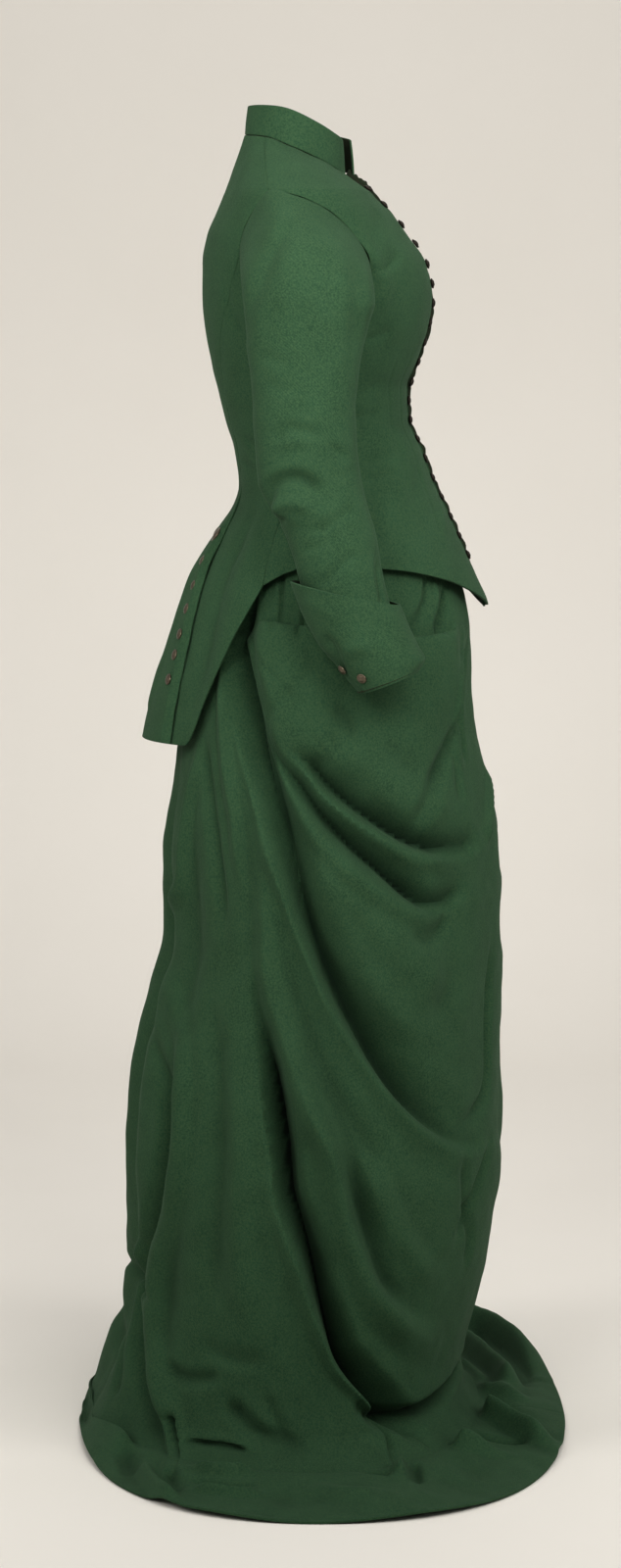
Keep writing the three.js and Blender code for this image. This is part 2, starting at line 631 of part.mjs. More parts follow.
// Folds of the draped right side, seen from that side: each path is a few [y, height]
// points from its top to its foot. A valley's depth is positive, a ridge's negative.
const DRAPE_FOLDS = [
  { width: 36, depth: 26, path: [[94, 886], [101, 862], [97, 820], [84, 770], [68, 720],
    [41, 645], [5, 539], [-52, 436], [-120, 353], [-152, 330]] },
  { width: 38, depth: -14, path: [[84, 760], [58, 650], [20, 545], [-30, 450],
    [-92, 378], [-150, 326], [-182, 314]] },
  { width: 34, depth: -10, path: [[66, 690], [58, 521], [20, 400], [-25, 290]] },
  { width: 50, depth: -15, path: [[30, 660], [-20, 610], [-66, 560], [-101, 518], [-128, 492]] },
  { width: 46, depth: -8, path: [[70, 690], [10, 580], [-90, 470], [-140, 440]] },
  { width: 32, depth: 18, path: [[62, 760], [19, 705], [-34, 650], [-87, 606], [-138, 592]] },
  { width: 30, depth: -9, path: [[36, 704], [-24, 640], [-96, 590], [-140, 580]] },
  { width: 32, depth: 18, path: [[38, 756], [-4, 718], [-63, 675], [-122, 646], [-156, 644]] },
  { width: 30, depth: -9, path: [[20, 722], [-50, 668], [-150, 630]] },
  { width: 44, depth: -12, path: [[-6, 770], [-50, 734], [-90, 704], [-150, 686]] },
  { width: 28, depth: 8, path: [[-146, 805], [-135, 772], [-117, 722], [-95, 668]] },
  { width: 38, depth: 28, path: [[74, 500], [57, 390], [43, 290], [19, 228],
    [-9, 140], [-50, 80], [-92, 34]] },
  { width: 32, depth: -13, path: [[40, 255], [9, 170], [-18, 112], [-60, 66]] },
  { width: 38, depth: -17, path: [[40, 440], [-7, 338], [-34, 230], [-87, 144], [-119, 119]] },
  { width: 32, depth: 11, path: [[-16, 350], [-46, 250], [-90, 166]] },
  { width: 34, depth: -7, path: [[-40, 330], [-90, 228], [-120, 180]] },
  { width: 32, depth: 17, path: [[-40, 66], [-90, 48], [-146, 60]] },
  { width: 32, depth: -11, path: [[106, 850], [100, 730], [84, 600]] },
  { width: 34, depth: 7, path: [[128, 770], [112, 630], [104, 560]] },
  { width: 34, depth: -9, path: [[129, 758], [149, 640], [164, 560]] },
  { width: 40, depth: 7, path: [[120, 500], [110, 330], [120, 150]] },
  { width: 40, depth: -6, path: [[96, 430], [88, 230], [84, 120]] },
  { width: 32, depth: -19, path: [[166, 519], [152, 400], [160, 283], [178, 170], [177, 80], [148, 4]] },
  { width: 32, depth: 14, path: [[180, 460], [172, 340], [190, 200], [199, 107], [168, 6]] },
  { width: 34, depth: 10, path: [[-181, 543], [-174, 381], [-149, 351]] },
  { width: 34, depth: 9, path: [[-178, 324], [-155, 257], [-141, 228]] },
  { width: 20, depth: 5, path: [[44, 925], [45, 885]] },
  { width: 20, depth: 5, path: [[22, 925], [22, 880]] },
  { width: 22, depth: 5, path: [[72, 930], [80, 888]] },
  { width: 21, depth: 6, path: [[-110, 920], [-98, 880]] },
  { width: 20, depth: 7, path: [[-129, 915], [-124, 876]] },
];

// Folds of the other sides. Each path is a few [angle, height] points.
const ROUND_FOLDS = [
  { width: 38, depth: 7, path: [[12, 640], [0, 628], [-18, 634], [-30, 655]] },
  { width: 38, depth: 7, path: [[10, 560], [-8, 540], [-28, 560]] },
  { width: 38, depth: 8, path: [[15, 345], [0, 300], [-15, 270]] },
  { width: 38, depth: 7.5, path: [[-5, 880], [-10, 700], [-14, 540]] },
  { width: 48, depth: 17.5, path: [[-25, 600], [-30, 380], [-28, 120], [-24, 20]] },
  { width: 50, depth: -17.5, path: [[-44, 780], [-48, 500], [-48, 200], [-44, 14]] },
  { width: 43, depth: 20, path: [[-62, 860], [-64, 560], [-62, 250], [-60, 14]] },
  { width: 48, depth: -16, path: [[-80, 700], [-80, 400], [-78, 150], [-78, 14]] },
  { width: 43, depth: 19, path: [[-98, 840], [-96, 560], [-96, 220], [-98, 14]] },
  { width: 46, depth: -16, path: [[-116, 720], [-114, 420], [-116, 14]] },
  { width: 38, depth: 19, path: [[-134, 840], [-132, 520], [-136, 200], [-140, 14]] },
  { width: 38, depth: 7, path: [[148, 740], [147, 520], [143, 300], [146, 14]] },
  { width: 38, depth: -6, path: [[160, 700], [161, 440], [158, 200], [160, 14]] },
  { width: 38, depth: 11, path: [[172, 790], [174, 520], [173, 250], [176, 14]] },
  { width: 38, depth: -15, path: [[186, 740], [188, 460], [189, 200], [192, 14]] },
  { width: 38, depth: 17.5, path: [[200, 800], [202, 540], [204, 260], [207, 14]] },
  { width: 38, depth: -12.5, path: [[212, 700], [214, 420], [216, 14]] },
];
const ROUND_RADIUS = 225;
const FOLD_SPREAD = 1.5; // a fold runs out to this many times its width on each side

// Turns a drape path's y into an angle round the skirt.
function angleOnRing(y, height) {
  const middle = read(SKIRT, height, 5);
  const reach = y < middle ? middle - read(SKIRT, height, 1) : read(SKIRT, height, 2) - middle;
  return Math.acos(Math.min(1, Math.max(-1, (middle - y) / reach))) / DEG;
}

const skirtFolds = DRAPE_FOLDS.map((fold) => ({
  ...fold, path: fold.path.map(([y, h]) => [angleOnRing(y, h), h]) })).concat(ROUND_FOLDS);

function foldDepth(angle, height) {
  let sum = 0;
  skirtFolds.forEach(({ path, width, depth }) => {
    const last = path.length - 1;
    let best = Infinity;
    let share = 0;
    const away = path[0][0] - angle;
    const start = away - 360 * Math.round(away / 360);
    for (let k = 0; k < last; k += 1) {
      const turned = (to) => (start + to - path[0][0]) * DEG * ROUND_RADIUS;
      const ax = turned(path[k][0]);
      const bx = turned(path[k + 1][0]);
      const az = path[k][1] - height;
      const bz = path[k + 1][1] - height;
      const length2 = (bx - ax) ** 2 + (bz - az) ** 2;
      const t = clamp01((-ax * (bx - ax) - az * (bz - az)) / length2);
      const d = Math.hypot(lerp(ax, bx, t), lerp(az, bz, t));
      if (d < best) {
        best = d;
        share = (k + t) / last;
      }
    }
    const ends = smooth(5 * share) * smooth(5 * (1 - share));
    sum += depth * bump(best / (FOLD_SPREAD * width)) * (0.25 + 0.75 * ends);
  });
  return sum;
}

// The drape's turned top edge stands off the hip like a shallow ledge with a groove
// behind it. Columns of LEDGE: angle, height, share of the full form.
const LEDGE = [
  [8, 886, 0], [26, 882, 0.2], [42, 872, 0.85], [60, 870, 1], [90, 880, 1], [112, 886, 1], [126, 890, 0],
];
// Columns of its section: rise above the edge's height, distance off the hip.
const LEDGE_SECTION = [[24, 0], [-5, 1], [-15, 5], [-13, 11], [-3, 14], [2, 18], [-5, 22], [-20, 24]];
const LEDGE_ROWS = LEDGE_SECTION.length;
const LEDGE_FIRST = LEDGE_SECTION[0][0];
const [LEDGE_LAST, LEDGE_REACH] = LEDGE_SECTION[LEDGE_ROWS - 1];
const LEDGE_SEAM_HEIGHT = 880; // a column crosses the ledge at its angle at this height
const LEDGE_FOOT = 850; // below this the cloth falls back to the skirt's own form
const LEDGE_FADE = 150;
const WALL_FOOT = 16; // where the upright cloth turns over into the brim
const UPPER_HEIGHTS = [1035, 995, 960, 925];
const LOWER_HEIGHTS = [
  835, 808, 780, 750, 720, 690, 660, 630, 600, 570, 535, 500, 465,
  430, 395, 355, 315, 275, 235, 195, 155, 115, 80, 45, WALL_FOOT,
];
const FLOOR_ROWS = [0.16, 0.45, 0.74, 1];

function skirtSurface(angle, height, out = 0) {
  const p = skirtRing(angle, height);
  const outward = skirtRing(angle + 1, height).sub(skirtRing(angle - 1, height));
  const normal = new THREE.Vector3(-outward.y, outward.x, 0).normalize();
  if (normal.dot(new THREE.Vector3(p.x, p.y, 0)) < 0) normal.negate();
  const settled = smooth((height - 4) / 60);
  return p.addScaledVector(normal, out - foldDepth(angle, height) * lerp(0.5, 1, settled));
}

// The brim's ridges: waves round it that are highest half way out, and a lower one at its
// rim. Columns: height, waves in a turn, where in a turn they start.
const BRIM_LEVEL = 7;
const BRIM_WAVES = [[7, 5, 1], [6, 9, 2.4]];
const RIM_WAVE = [4, 7, 0];
const BRIM_MIDDLE = 0.55;
const BRIM_SPREAD = 0.6;
const BRIM_DROP = 3.2; // it comes down from the wall in one part in this many of its width
function floorPoint(angle, along) {
  const wave = ([height, turns, start]) => height * Math.sin(turns * angle * DEG + start);
  const ridges = BRIM_LEVEL + wave(BRIM_WAVES[0]) + wave(BRIM_WAVES[1]);
  const rise = ridges * bump((along - BRIM_MIDDLE) / BRIM_SPREAD) + (RIM_WAVE[0] + wave(RIM_WAVE)) * along;
  const p = skirtSurface(angle, WALL_FOOT).lerp(hemPoint(angle), along);
  p.z = lerp(WALL_FOOT, SKIRT_CLOTH + FLOOR_CLEARANCE, smooth(BRIM_DROP * along)) + Math.max(0, rise);
  return p;
}

function skirtColumn(angleAt) {
  const column = [];
  UPPER_HEIGHTS.forEach((h) => column.push(skirtSurface(angleAt(h), h)));
  const seam = angleAt(LEDGE_SEAM_HEIGHT);
  const turned = seam > 180 ? seam - 360 : seam;
  const amount = smooth(read(LEDGE, turned, 2));
  LEDGE_SECTION.forEach(([rise, out], k) => {
    const plain = lerp(LEDGE_FIRST, LEDGE_LAST, k / (LEDGE_ROWS - 1));
    const height = read(LEDGE, turned, 1) + lerp(plain, rise, amount);
    column.push(skirtSurface(seam, height, out * amount));
  });
  LOWER_HEIGHTS.forEach((h) => {
    const fade = 1 - smooth((LEDGE_FOOT - h) / LEDGE_FADE);
    column.push(skirtSurface(angleAt(h), h, LEDGE_REACH * fade * amount));
  });
  FLOOR_ROWS.forEach((along) => column.push(floorPoint(angleAt(0), along)));
  return column;
}

// Seams of the skirt. Columns: height, angle.
const RIGHT_SEAM = [[0, 95], [300, 96], [584, 99], [780, 112], [874, 122], [1050, 122]];
const FRONT_SEAM = 4; // angle of the hidden seam beside the front's middle
const LEFT_SEAM = 262;
const SKIRT_PANELS = [
  { name: 'skirt_right_drape', from: () => FRONT_SEAM, to: (h) => read(RIGHT_SEAM, h, 1), columns: 17 },
  { name: 'skirt_back', from: (h) => read(RIGHT_SEAM, h, 1), to: () => LEFT_SEAM, columns: 17 },
  { name: 'skirt_front_left', from: () => LEFT_SEAM, to: () => 360 + FRONT_SEAM, columns: 12 },
];
const NORMAL_STEP = 2; // degrees to each side, the same for both panels at a seam
SKIRT_PANELS.forEach(({ name, from, to, columns }) => {
  const near = [-NORMAL_STEP, 0, NORMAL_STEP].map((step) => (
    Array.from({ length: columns + 1 }, (_, i) => (
      skirtColumn((h) => lerp(from(h), to(h), i / columns) + step)))));
  const rowCount = near[0][0].length;
  const rows = near[1][0].map((_, j) => near[1].map((column) => column[j]));
  const normals = rows.map((row, j) => row.map((_, i) => {
    const across = near[2][i][j].clone().sub(near[0][i][j]);
    const up = near[1][i][Math.min(rowCount - 1, j + 1)].clone().sub(near[1][i][Math.max(0, j - 1)]);
    return up.cross(across).normalize();
  }));
  addPiece(name, clothWall(trimSeams(rows, { left: true, right: true }), normals, SKIRT_CLOTH));
});

// ---- waistband
const WAISTBAND = { halfWidth: 102, front: -91, back: 83, bottom: 1035.4, top: 1058 };
{
  const columns = 28;
  const rows = [WAISTBAND.bottom, WAISTBAND.top].map((height) => (
    Array.from({ length: columns }, (_, i) => {
      const turn = (2 * Math.PI * i) / columns;
      const reach = Math.cos(turn) > 0 ? -WAISTBAND.front : WAISTBAND.back;
      return new THREE.Vector3(-WAISTBAND.halfWidth * Math.sin(turn), -reach * Math.cos(turn), height);
    })));
  addPiece('skirt_waistband', clothWall(rows, gridNormals(rows, true, 1), SKIRT_CLOTH, true));
}

// ---------------------------------------------------------------- buttons
const BUTTON_STAND = 0.3; // a sewn button lies this far above the cloth
const BUTTON_SIDES = 8;
const BUTTON_BEVEL = { radius: 0.92, height: 0.7 }; // shares of its radius and height
const SEAT_REACH = 30; // a ray that seats a button starts this far outside

// How far the cloth of a panel stands above a point, measured along a normal under the
// middle and the rim of a button.
function clothHeight(panel, place, normal, radius) {
  const side = new THREE.Vector3(0, 0, 1).cross(normal).normalize();
  const up = normal.clone().cross(side);
  let highest = -SEAT_REACH;
  for (let k = 0; k <= BUTTON_SIDES; k += 1) {
    const turn = (2 * Math.PI * k) / BUTTON_SIDES;
    const reach = k === BUTTON_SIDES ? 0 : radius;
    const start = place.clone().addScaledVector(side, reach * Math.cos(turn));
    start.addScaledVector(up, reach * Math.sin(turn)).addScaledVector(normal, SEAT_REACH);
    const hit = new THREE.Raycaster(start, normal.clone().negate()).intersectObject(panel)[0];
    if (hit) highest = Math.max(highest, SEAT_REACH - hit.distance);
  }
  return highest;
}

function addButton(name, panelName, place, normal, radius, height) {
  const shoulder = [radius * BUTTON_BEVEL.radius, height * BUTTON_BEVEL.height];
  const outline = [[0, 0], [radius, 0], shoulder, [0, height]];
  const profile = outline.map(([r, h]) => new THREE.Vector2(r, h));
  const geometry = new THREE.LatheGeometry(profile, BUTTON_SIDES);
  const raised = clothHeight(habit.getObjectByName(panelName), place, normal, radius);
  const button = addPiece(name, geometry, BUTTON_METAL, 0.45, 0.8);
  button.position.copy(place).addScaledVector(normal, raised + BUTTON_STAND);
  button.quaternion.setFromUnitVectors(new THREE.Vector3(0, 1, 0), normal);
}

// The same button on the other side of the body.
function addButtonPair(name, panelName, place, normal, radius, height) {
  const flip = (v) => new THREE.Vector3(-v.x, v.y, v.z);
  addButton(`${name[0]}_right_${name[1]}`, `${panelName}_right`, place, normal, radius, height);
  addButton(`${name[0]}_left_${name[1]}`, `${panelName}_left`, flip(place), flip(normal), radius, height);
}

const FRONT_BUTTONS = { count: 20, top: 1344, bottom: 948, radius: 5.5, height: 4 };
for (let k = 0; k < FRONT_BUTTONS.count; k += 1) {
  const { count, top, bottom, radius, height } = FRONT_BUTTONS;
  const h = lerp(top, bottom, k / (count - 1));
  addButton(`front_button_${k + 1}`, 'front_right', bodicePoint(0, h), bodiceNormal(0, h), radius, height);
}

const FLAT_BUTTON_HEIGHT = 3.5;
const PLEAT_BUTTON_INSET = 5; // degrees in from the pleat's edge
// Columns of TAIL_BUTTONS: height, radius.
const TAIL_BUTTONS = [[972, 9], [945, 6], [919, 6], [894, 6], [867, 6], [845, 6], [819, 6]];
TAIL_BUTTONS.forEach(([h, radius], k) => {
  const angle = read(PLEAT_OVERLAP, h, 1) + PLEAT_BUTTON_INSET;
  const [place, normal] = [bodicePoint(angle, h), bodiceNormal(angle, h)];
  addButtonPair(['tail_button', k + 1], 'back', place, normal, radius, FLAT_BUTTON_HEIGHT);
});

const CUFF_BUTTON_RADIUS = 5.5;
const CUFF_BUTTONS = [[0.8, 28], [0.88, 54]]; // share of the cuff's length, turn
const TURN_STEP = 2;
const ALONG_STEP = 0.03;
CUFF_BUTTONS.forEach(([along, turn], k) => {
  const across = tubePoint(CUFF, along, turn + TURN_STEP).sub(tubePoint(CUFF, along, turn - TURN_STEP));
  const down = tubePoint(CUFF, along + ALONG_STEP, turn).sub(tubePoint(CUFF, along - ALONG_STEP, turn));
  const normal = across.cross(down).normalize();
  if (normal.x > 0) normal.negate();
  const place = tubePoint(CUFF, along, turn);
  addButtonPair(['cuff_button', k + 1], 'cuff', place, normal, CUFF_BUTTON_RADIUS, FLAT_BUTTON_HEIGHT);
});

habit.position.z = -WAIST_HEIGHT;
export default habit;
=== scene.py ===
# %% [markdown]
# # A riding habit of about 1885
# The habit is a fitted, tailed jacket over a long skirt that is draped up on the right hip.
# It is all one cloth, a dark green wool, so nearly everything here is a thin shell of wool
# with folds worked into it one by one. The imported model gives the frame: every shell stands
# for one cut piece of the garment, and lies where that piece lies.

# %% Start
import math

import bmesh
import bpy
import numpy as np
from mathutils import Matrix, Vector


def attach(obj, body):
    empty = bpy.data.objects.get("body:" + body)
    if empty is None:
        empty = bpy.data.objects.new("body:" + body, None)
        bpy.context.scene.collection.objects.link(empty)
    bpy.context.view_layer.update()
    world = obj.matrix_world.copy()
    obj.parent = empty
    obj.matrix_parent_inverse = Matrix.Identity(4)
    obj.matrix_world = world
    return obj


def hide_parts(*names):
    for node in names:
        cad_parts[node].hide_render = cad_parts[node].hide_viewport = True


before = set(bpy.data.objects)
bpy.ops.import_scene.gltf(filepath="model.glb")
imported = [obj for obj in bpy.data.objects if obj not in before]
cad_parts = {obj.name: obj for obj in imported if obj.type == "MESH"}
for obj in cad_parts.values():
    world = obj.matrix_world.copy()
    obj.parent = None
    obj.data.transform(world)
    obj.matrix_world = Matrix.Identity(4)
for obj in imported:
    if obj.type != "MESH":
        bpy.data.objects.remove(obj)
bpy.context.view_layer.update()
print("nodes:", len(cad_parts))

# %% [markdown]
# ## Sizes
# A dressmaker writes in millimetres, and heights are easiest to read above the floor. So the
# tables are in millimetres above the floor, and one helper turns them into metres about the
# centre of the waist, which is the frame's origin.

# %% Sizes shared by all the pieces
MM = 0.001
WAIST_HEIGHT = 1060
CLOTH = 2.2
SKIRT_CLOTH = 2.4
DEG = math.pi / 180


def metres(points):
    """Points in millimetres above the floor, as metres in the frame."""
    return (points - np.array([0, 0, WAIST_HEIGHT])) * MM


# %% [markdown]
# ## Curves from short tables
# Each table has named columns and one row for each section. A smooth curve without overshoot
# runs through the rows, so a table needs a row only where the shape turns. A straight
# interpolation would leave facets that show in the light as bands.

# %% Reading a table
def read(rows, at, column=1):
    x = np.array([row[0] for row in rows], float)
    y = np.array([row[column] for row in rows], float)
    step = np.diff(y) / np.diff(x)
    slope = np.zeros(len(x))
    slope[0], slope[-1] = step[0], step[-1]
    before, after = step[:-1], step[1:]
    same_way = before * after > 0
    total = np.where(same_way, before + after, 1)
    slope[1:-1] = np.where(same_way, 2 * before * after / total, 0)
    at = np.clip(np.asarray(at, float), x[0], x[-1])
    i = np.clip(np.searchsorted(x, at, side="right") - 1, 0, len(x) - 2)
    span = x[i + 1] - x[i]
    t = (at - x[i]) / span
    return ((2 * t**3 - 3 * t**2 + 1) * y[i] + (t**3 - 2 * t**2 + t) * slope[i] * span
            + (3 * t**2 - 2 * t**3) * y[i + 1] + (t**3 - t**2) * slope[i + 1] * span)


def mix(a, b, t):
    return a + (b - a) * t


def smooth(x):
    t = np.clip(x, 0, 1)
    return t * t * (3 - 2 * t)


def bump(x):
    """1 in the middle, 0 at and past plus or minus 1."""
    return np.where(np.abs(x) >= 1, 0, 0.5 + 0.5 * np.cos(np.pi * x))


def walk(path, steps=5):
    """A smooth line through the points of a path."""
    p = np.array(path, float)
    p = np.vstack([2 * p[0] - p[1], p, 2 * p[-1] - p[-2]])
    t = np.linspace(0, 1, steps, endpoint=False)[:, None]
    pieces = [0.5 * (2 * b + (c - a) * t + (2 * a - 5 * b + 4 * c - d) * t**2
                     + (3 * b - a - 3 * c + d) * t**3)
              for a, b, c, d in zip(p, p[1:], p[2:], p[3:])]
    return np.vstack(pieces + [p[-2:-1]])


# %% [markdown]
# ## Folds
# A fold in cloth is a long trough or ridge with one steep side and one easy side. Each is a
# path, a depth, and a width to its left and to its right as one walks along it. A ridge has
# a negative depth. `crisp` sharpens the bottom from a round trough towards a pressed line,
# and `ends` says how much of the depth is left at the first and the last point. Simulated
# folds would fall somewhere else each time, and these have to lie where the habit has them.

# %% Relief of a list of folds
def fold(path, depth, left, right, crisp=0.3, ends=(0.15, 0.15)):
    return {"line": walk(path), "depth": depth, "left": left, "right": right,
            "crisp": crisp, "ends": ends}


def relief(folds, across, up):
    """How deep all the folds are together at the points (across, up)."""
    points = np.stack([across, up], 1)
    total = np.zeros(len(points))
    for f in folds:
        line, reach = f["line"], max(f["left"], f["right"])
        low, high = line.min(0) - reach, line.max(0) + reach
        near = np.nonzero(np.all((points > low) & (points < high), 1))[0]
        if not len(near):
            continue
        p = points[near]
        best = np.full(len(p), np.inf)
        share, width = np.zeros(len(p)), np.ones(len(p))
        for k, (a, b) in enumerate(zip(line, line[1:])):
            run = b - a
            t = np.clip((p - a) @ run / (run @ run), 0, 1)
            gap = p - (a + t[:, None] * run)
            distance = np.hypot(gap[:, 0], gap[:, 1])
            closer = distance < best
            turned_left = run[0] * gap[:, 1] > run[1] * gap[:, 0]
            best = np.where(closer, distance, best)
            share = np.where(closer, (k + t) / (len(line) - 1), share)
            width = np.where(closer, np.where(turned_left, f["left"], f["right"]), width)
        x = np.clip(best / width, 0, 1)
        form = mix(bump(x), (1 - x) ** 2, f["crisp"])
        first, last = f["ends"]
        run_in = mix(first, 1, smooth(share / 0.22)) * mix(last, 1, smooth((1 - share) / 0.22))
        total[near] += f["depth"] * form * run_in
    return total


def soft_noise(across, up, size, seed):
    """A gentle unevenness of about one, from a few crossed waves of different lengths."""
    rng = np.random.default_rng(seed)
    total = np.zeros(len(across))
    for _ in range(7):
        turn, phase, length = rng.uniform(0, math.pi), rng.uniform(0, 6.3), rng.uniform(0.6, 1.7)
        along = across * math.cos(turn) + up * math.sin(turn)
        total += np.sin(2 * math.pi * along / (size * length) + phase)
    return total / 2.6


# %% [markdown]
# ## One cut piece of cloth
# Every piece starts as a flat grid, as cloth does. Its vertices are then moved to the piece's
# form, and a Solidify modifier gives the wall its thickness, inwards, so that the outside
# keeps its size. A small bevel rounds the cut edges: two such edges side by side make the
# fine groove of a sewn seam. The grid keeps a UV map in metres of flat cloth, which the
# weave follows.

# %% How far each point of a grid lies under the cloth around it
HOLLOW_REACH = 30


def hollow(grid, normals):
    """1 for a point that lies as deep as the reach, and negative on a ridge."""
    around = grid
    for axis in (0, 1):
        count = grid.shape[axis]
        step = np.linalg.norm(np.diff(grid, axis=axis), axis=2).mean()
        half = min(count - 1, max(1, round(HOLLOW_REACH * MM / step)))
        margin = [(0, 0), (0, 0), (0, 0)]
        margin[axis] = (half, half)
        wide = np.pad(around, margin, mode="reflect", reflect_type="odd")
        around = sum(np.take(wide, range(k, k + count), axis)
                     for k in range(2 * half + 1)) / (2 * half + 1)
    return ((around - grid) * normals).sum(2) / (HOLLOW_REACH * MM)


# %% A helper that makes one piece
cloth_pieces = {}


def make_cloth(name, across, up, place, inside, wall=CLOTH, lined=True, edge=0.7, strip=0.0):
    """across and up are the number of cells, and place turns shares of both into points.
    strip is the share of the width, from its start, that shows the dark facing outside as well, as painted shade
    along that edge."""
    bm = bmesh.new()
    bmesh.ops.create_grid(bm, x_segments=across, y_segments=up, size=0.5)
    start = np.array([v.co[:] for v in bm.verts])
    u, v = np.clip(start[:, 0] + 0.5, 0, 1), np.clip(start[:, 1] + 0.5, 0, 1)
    points = metres(place(u, v))
    for vertex, point in zip(bm.verts, points):
        vertex.co = point
    bm.normal_update()
    centre = Vector(metres(np.array(inside, float)))
    faces_out = sum(face.normal.dot(face.calc_center_median() - centre) for face in bm.faces)
    if faces_out < 0:
        bmesh.ops.reverse_faces(bm, faces=bm.faces)
    mesh = bpy.data.meshes.new(name)
    bm.to_mesh(mesh)
    bm.free()
    # flat sizes: the longest row and the longest column
    order = np.lexsort((np.rint(start[:, 0] * across), np.rint(start[:, 1] * up)))
    grid = points[order].reshape(up + 1, across + 1, 3)
    width = np.linalg.norm(np.diff(grid, axis=1), axis=2).sum(1).max()
    length = np.linalg.norm(np.diff(grid, axis=0), axis=2).sum(0).max()
    normals = np.zeros((len(points), 3))
    mesh.vertices.foreach_get("normal", normals.ravel())
    depth = np.zeros(len(points), np.float32)
    depth[order] = hollow(grid, normals[order].reshape(grid.shape)).ravel()
    # The hollow measure goes into an attribute, which the wool uses as the mask of its painted shade in the folds.
    mesh.attributes.new("Hollow", "FLOAT", "POINT").data.foreach_set("value", depth)
    uv = mesh.uv_layers.new(name="Cloth")
    corner = np.zeros(len(mesh.loops), int)
    mesh.loops.foreach_get("vertex_index", corner)
    flat = np.stack([u[corner] * width, v[corner] * length], 1)
    uv.data.foreach_set("uv", flat.ravel())
    mesh.shade_smooth()
    piece = bpy.data.objects.new(name, mesh)
    bpy.context.collection.objects.link(piece)
    thick = piece.modifiers.new("Wall", "SOLIDIFY")
    thick.thickness, thick.offset = wall * MM, -1
    rounded = piece.modifiers.new("Soft edge", "BEVEL")
    rounded.width, rounded.segments = edge * MM, 2
    rounded.limit_method, rounded.angle_limit = "ANGLE", 65 * DEG
    mesh.materials.append(wool)
    # Inside, the dark facing: the cloth of the insides, made as dark as shade. Where strip is set, the outside
    # from the grid's start takes it too, as painted shade.
    if lined:
        mesh.materials.append(facing_and_shade)
        mesh.materials.append(facing_and_shade)
        thick.material_offset = 1
        outside = (u[corner].reshape(-1, 4).mean(1) < strip).astype(np.int32)
        mesh.polygons.foreach_set("material_index", outside)
    area = sum(face.area for face in mesh.polygons)
    cloth_pieces[name] = (piece, width, length, area)
    return piece


def stands_for(piece, node):
    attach(piece, "root")
    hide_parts(node)


# %% [markdown]
# ## The wool
# Habit cloth is a fulled wool: a fine twill that is milled and brushed until a short nap
# nearly hides it. It has no gloss, but its nap catches the light at the edges, which is what
# sheen is for. Three things vary over it: the threads, fine flecks of lighter and yellower
# fibre, and a slow clouding where the nap lies one way or the other. Each is a node group,
# so that the lining side or another cloth could use it with its own values. Last, the colour
# darkens with how deep a point lies under the cloth around it. That is painted shade, and
# not a colour of the cloth: the modelled folds are shallower than real ones and hold too
# little shade by themselves.

# %% Node helpers
def new_group(name, inputs, outputs):
    group = bpy.data.node_groups.new(name, "ShaderNodeTree")
    for label, kind, value in inputs:
        socket = group.interface.new_socket(name=label, in_out="INPUT", socket_type=kind)
        if value is not None:
            socket.default_value = value
    for label, kind in outputs:
        group.interface.new_socket(name=label, in_out="OUTPUT", socket_type=kind)
    return group, group.nodes.new("NodeGroupInput"), group.nodes.new("NodeGroupOutput")


def math_node(tree, operation, a, b=None, clamp=False):
    node = tree.nodes.new("ShaderNodeMath")
    node.operation, node.use_clamp = operation, clamp
    for socket, value in zip(node.inputs, (a, b)):
        if isinstance(value, bpy.types.NodeSocket):
            tree.links.new(value, socket)
        elif value is not None:
            socket.default_value = value
    return node.outputs[0]


def noise_node(tree, vector, scale, detail, roughness=0.5):
    node = tree.nodes.new("ShaderNodeTexNoise")
    node.inputs["Scale"].default_value = scale
    node.inputs["Detail"].default_value = detail
    node.inputs["Roughness"].default_value = roughness
    tree.links.new(vector, node.inputs["Vector"])
    return node.outputs["Fac"]


def colour_mix(tree, factor, a, b):
    node = tree.nodes.new("ShaderNodeMix")
    node.data_type = "RGBA"
    for socket, value in ((node.inputs[0], factor), (node.inputs[6], a), (node.inputs[7], b)):
        if isinstance(value, bpy.types.NodeSocket):
            tree.links.new(value, socket)
        else:
            socket.default_value = value
    return node.outputs[2]


# %% The twill weave, on the flat cloth's own UV map
def twill_group():
    group, given, result = new_group(
        "Twill weave",
        [("Cloth", "NodeSocketVector", None), ("Threads per metre", "NodeSocketFloat", 900)],
        [("Height", "NodeSocketFloat"), ("Rib", "NodeSocketFloat")])
    parts = group.nodes.new("ShaderNodeSeparateXYZ")
    group.links.new(given.outputs["Cloth"], parts.inputs[0])
    count = given.outputs["Threads per metre"]
    x = math_node(group, "MULTIPLY", parts.outputs[0], count)
    y = math_node(group, "MULTIPLY", parts.outputs[1], count)
    wobble = noise_node(group, given.outputs["Cloth"], 260, 2)
    diagonal = math_node(group, "ADD", math_node(group, "ADD", x, y),
                         math_node(group, "MULTIPLY", wobble, 1.4))
    rib = math_node(group, "SINE", math_node(group, "MULTIPLY", diagonal, math.pi / 2))
    weft = math_node(group, "SINE", math_node(group, "MULTIPLY", y, 2 * math.pi))
    both = math_node(group, "ADD", math_node(group, "MULTIPLY", rib, 0.6),
                     math_node(group, "MULTIPLY", weft, 0.4))
    group.links.new(math_node(group, "MULTIPLY_ADD", both, 0.5), result.inputs["Height"])
    group.links.new(rib, result.inputs["Rib"])
    return group


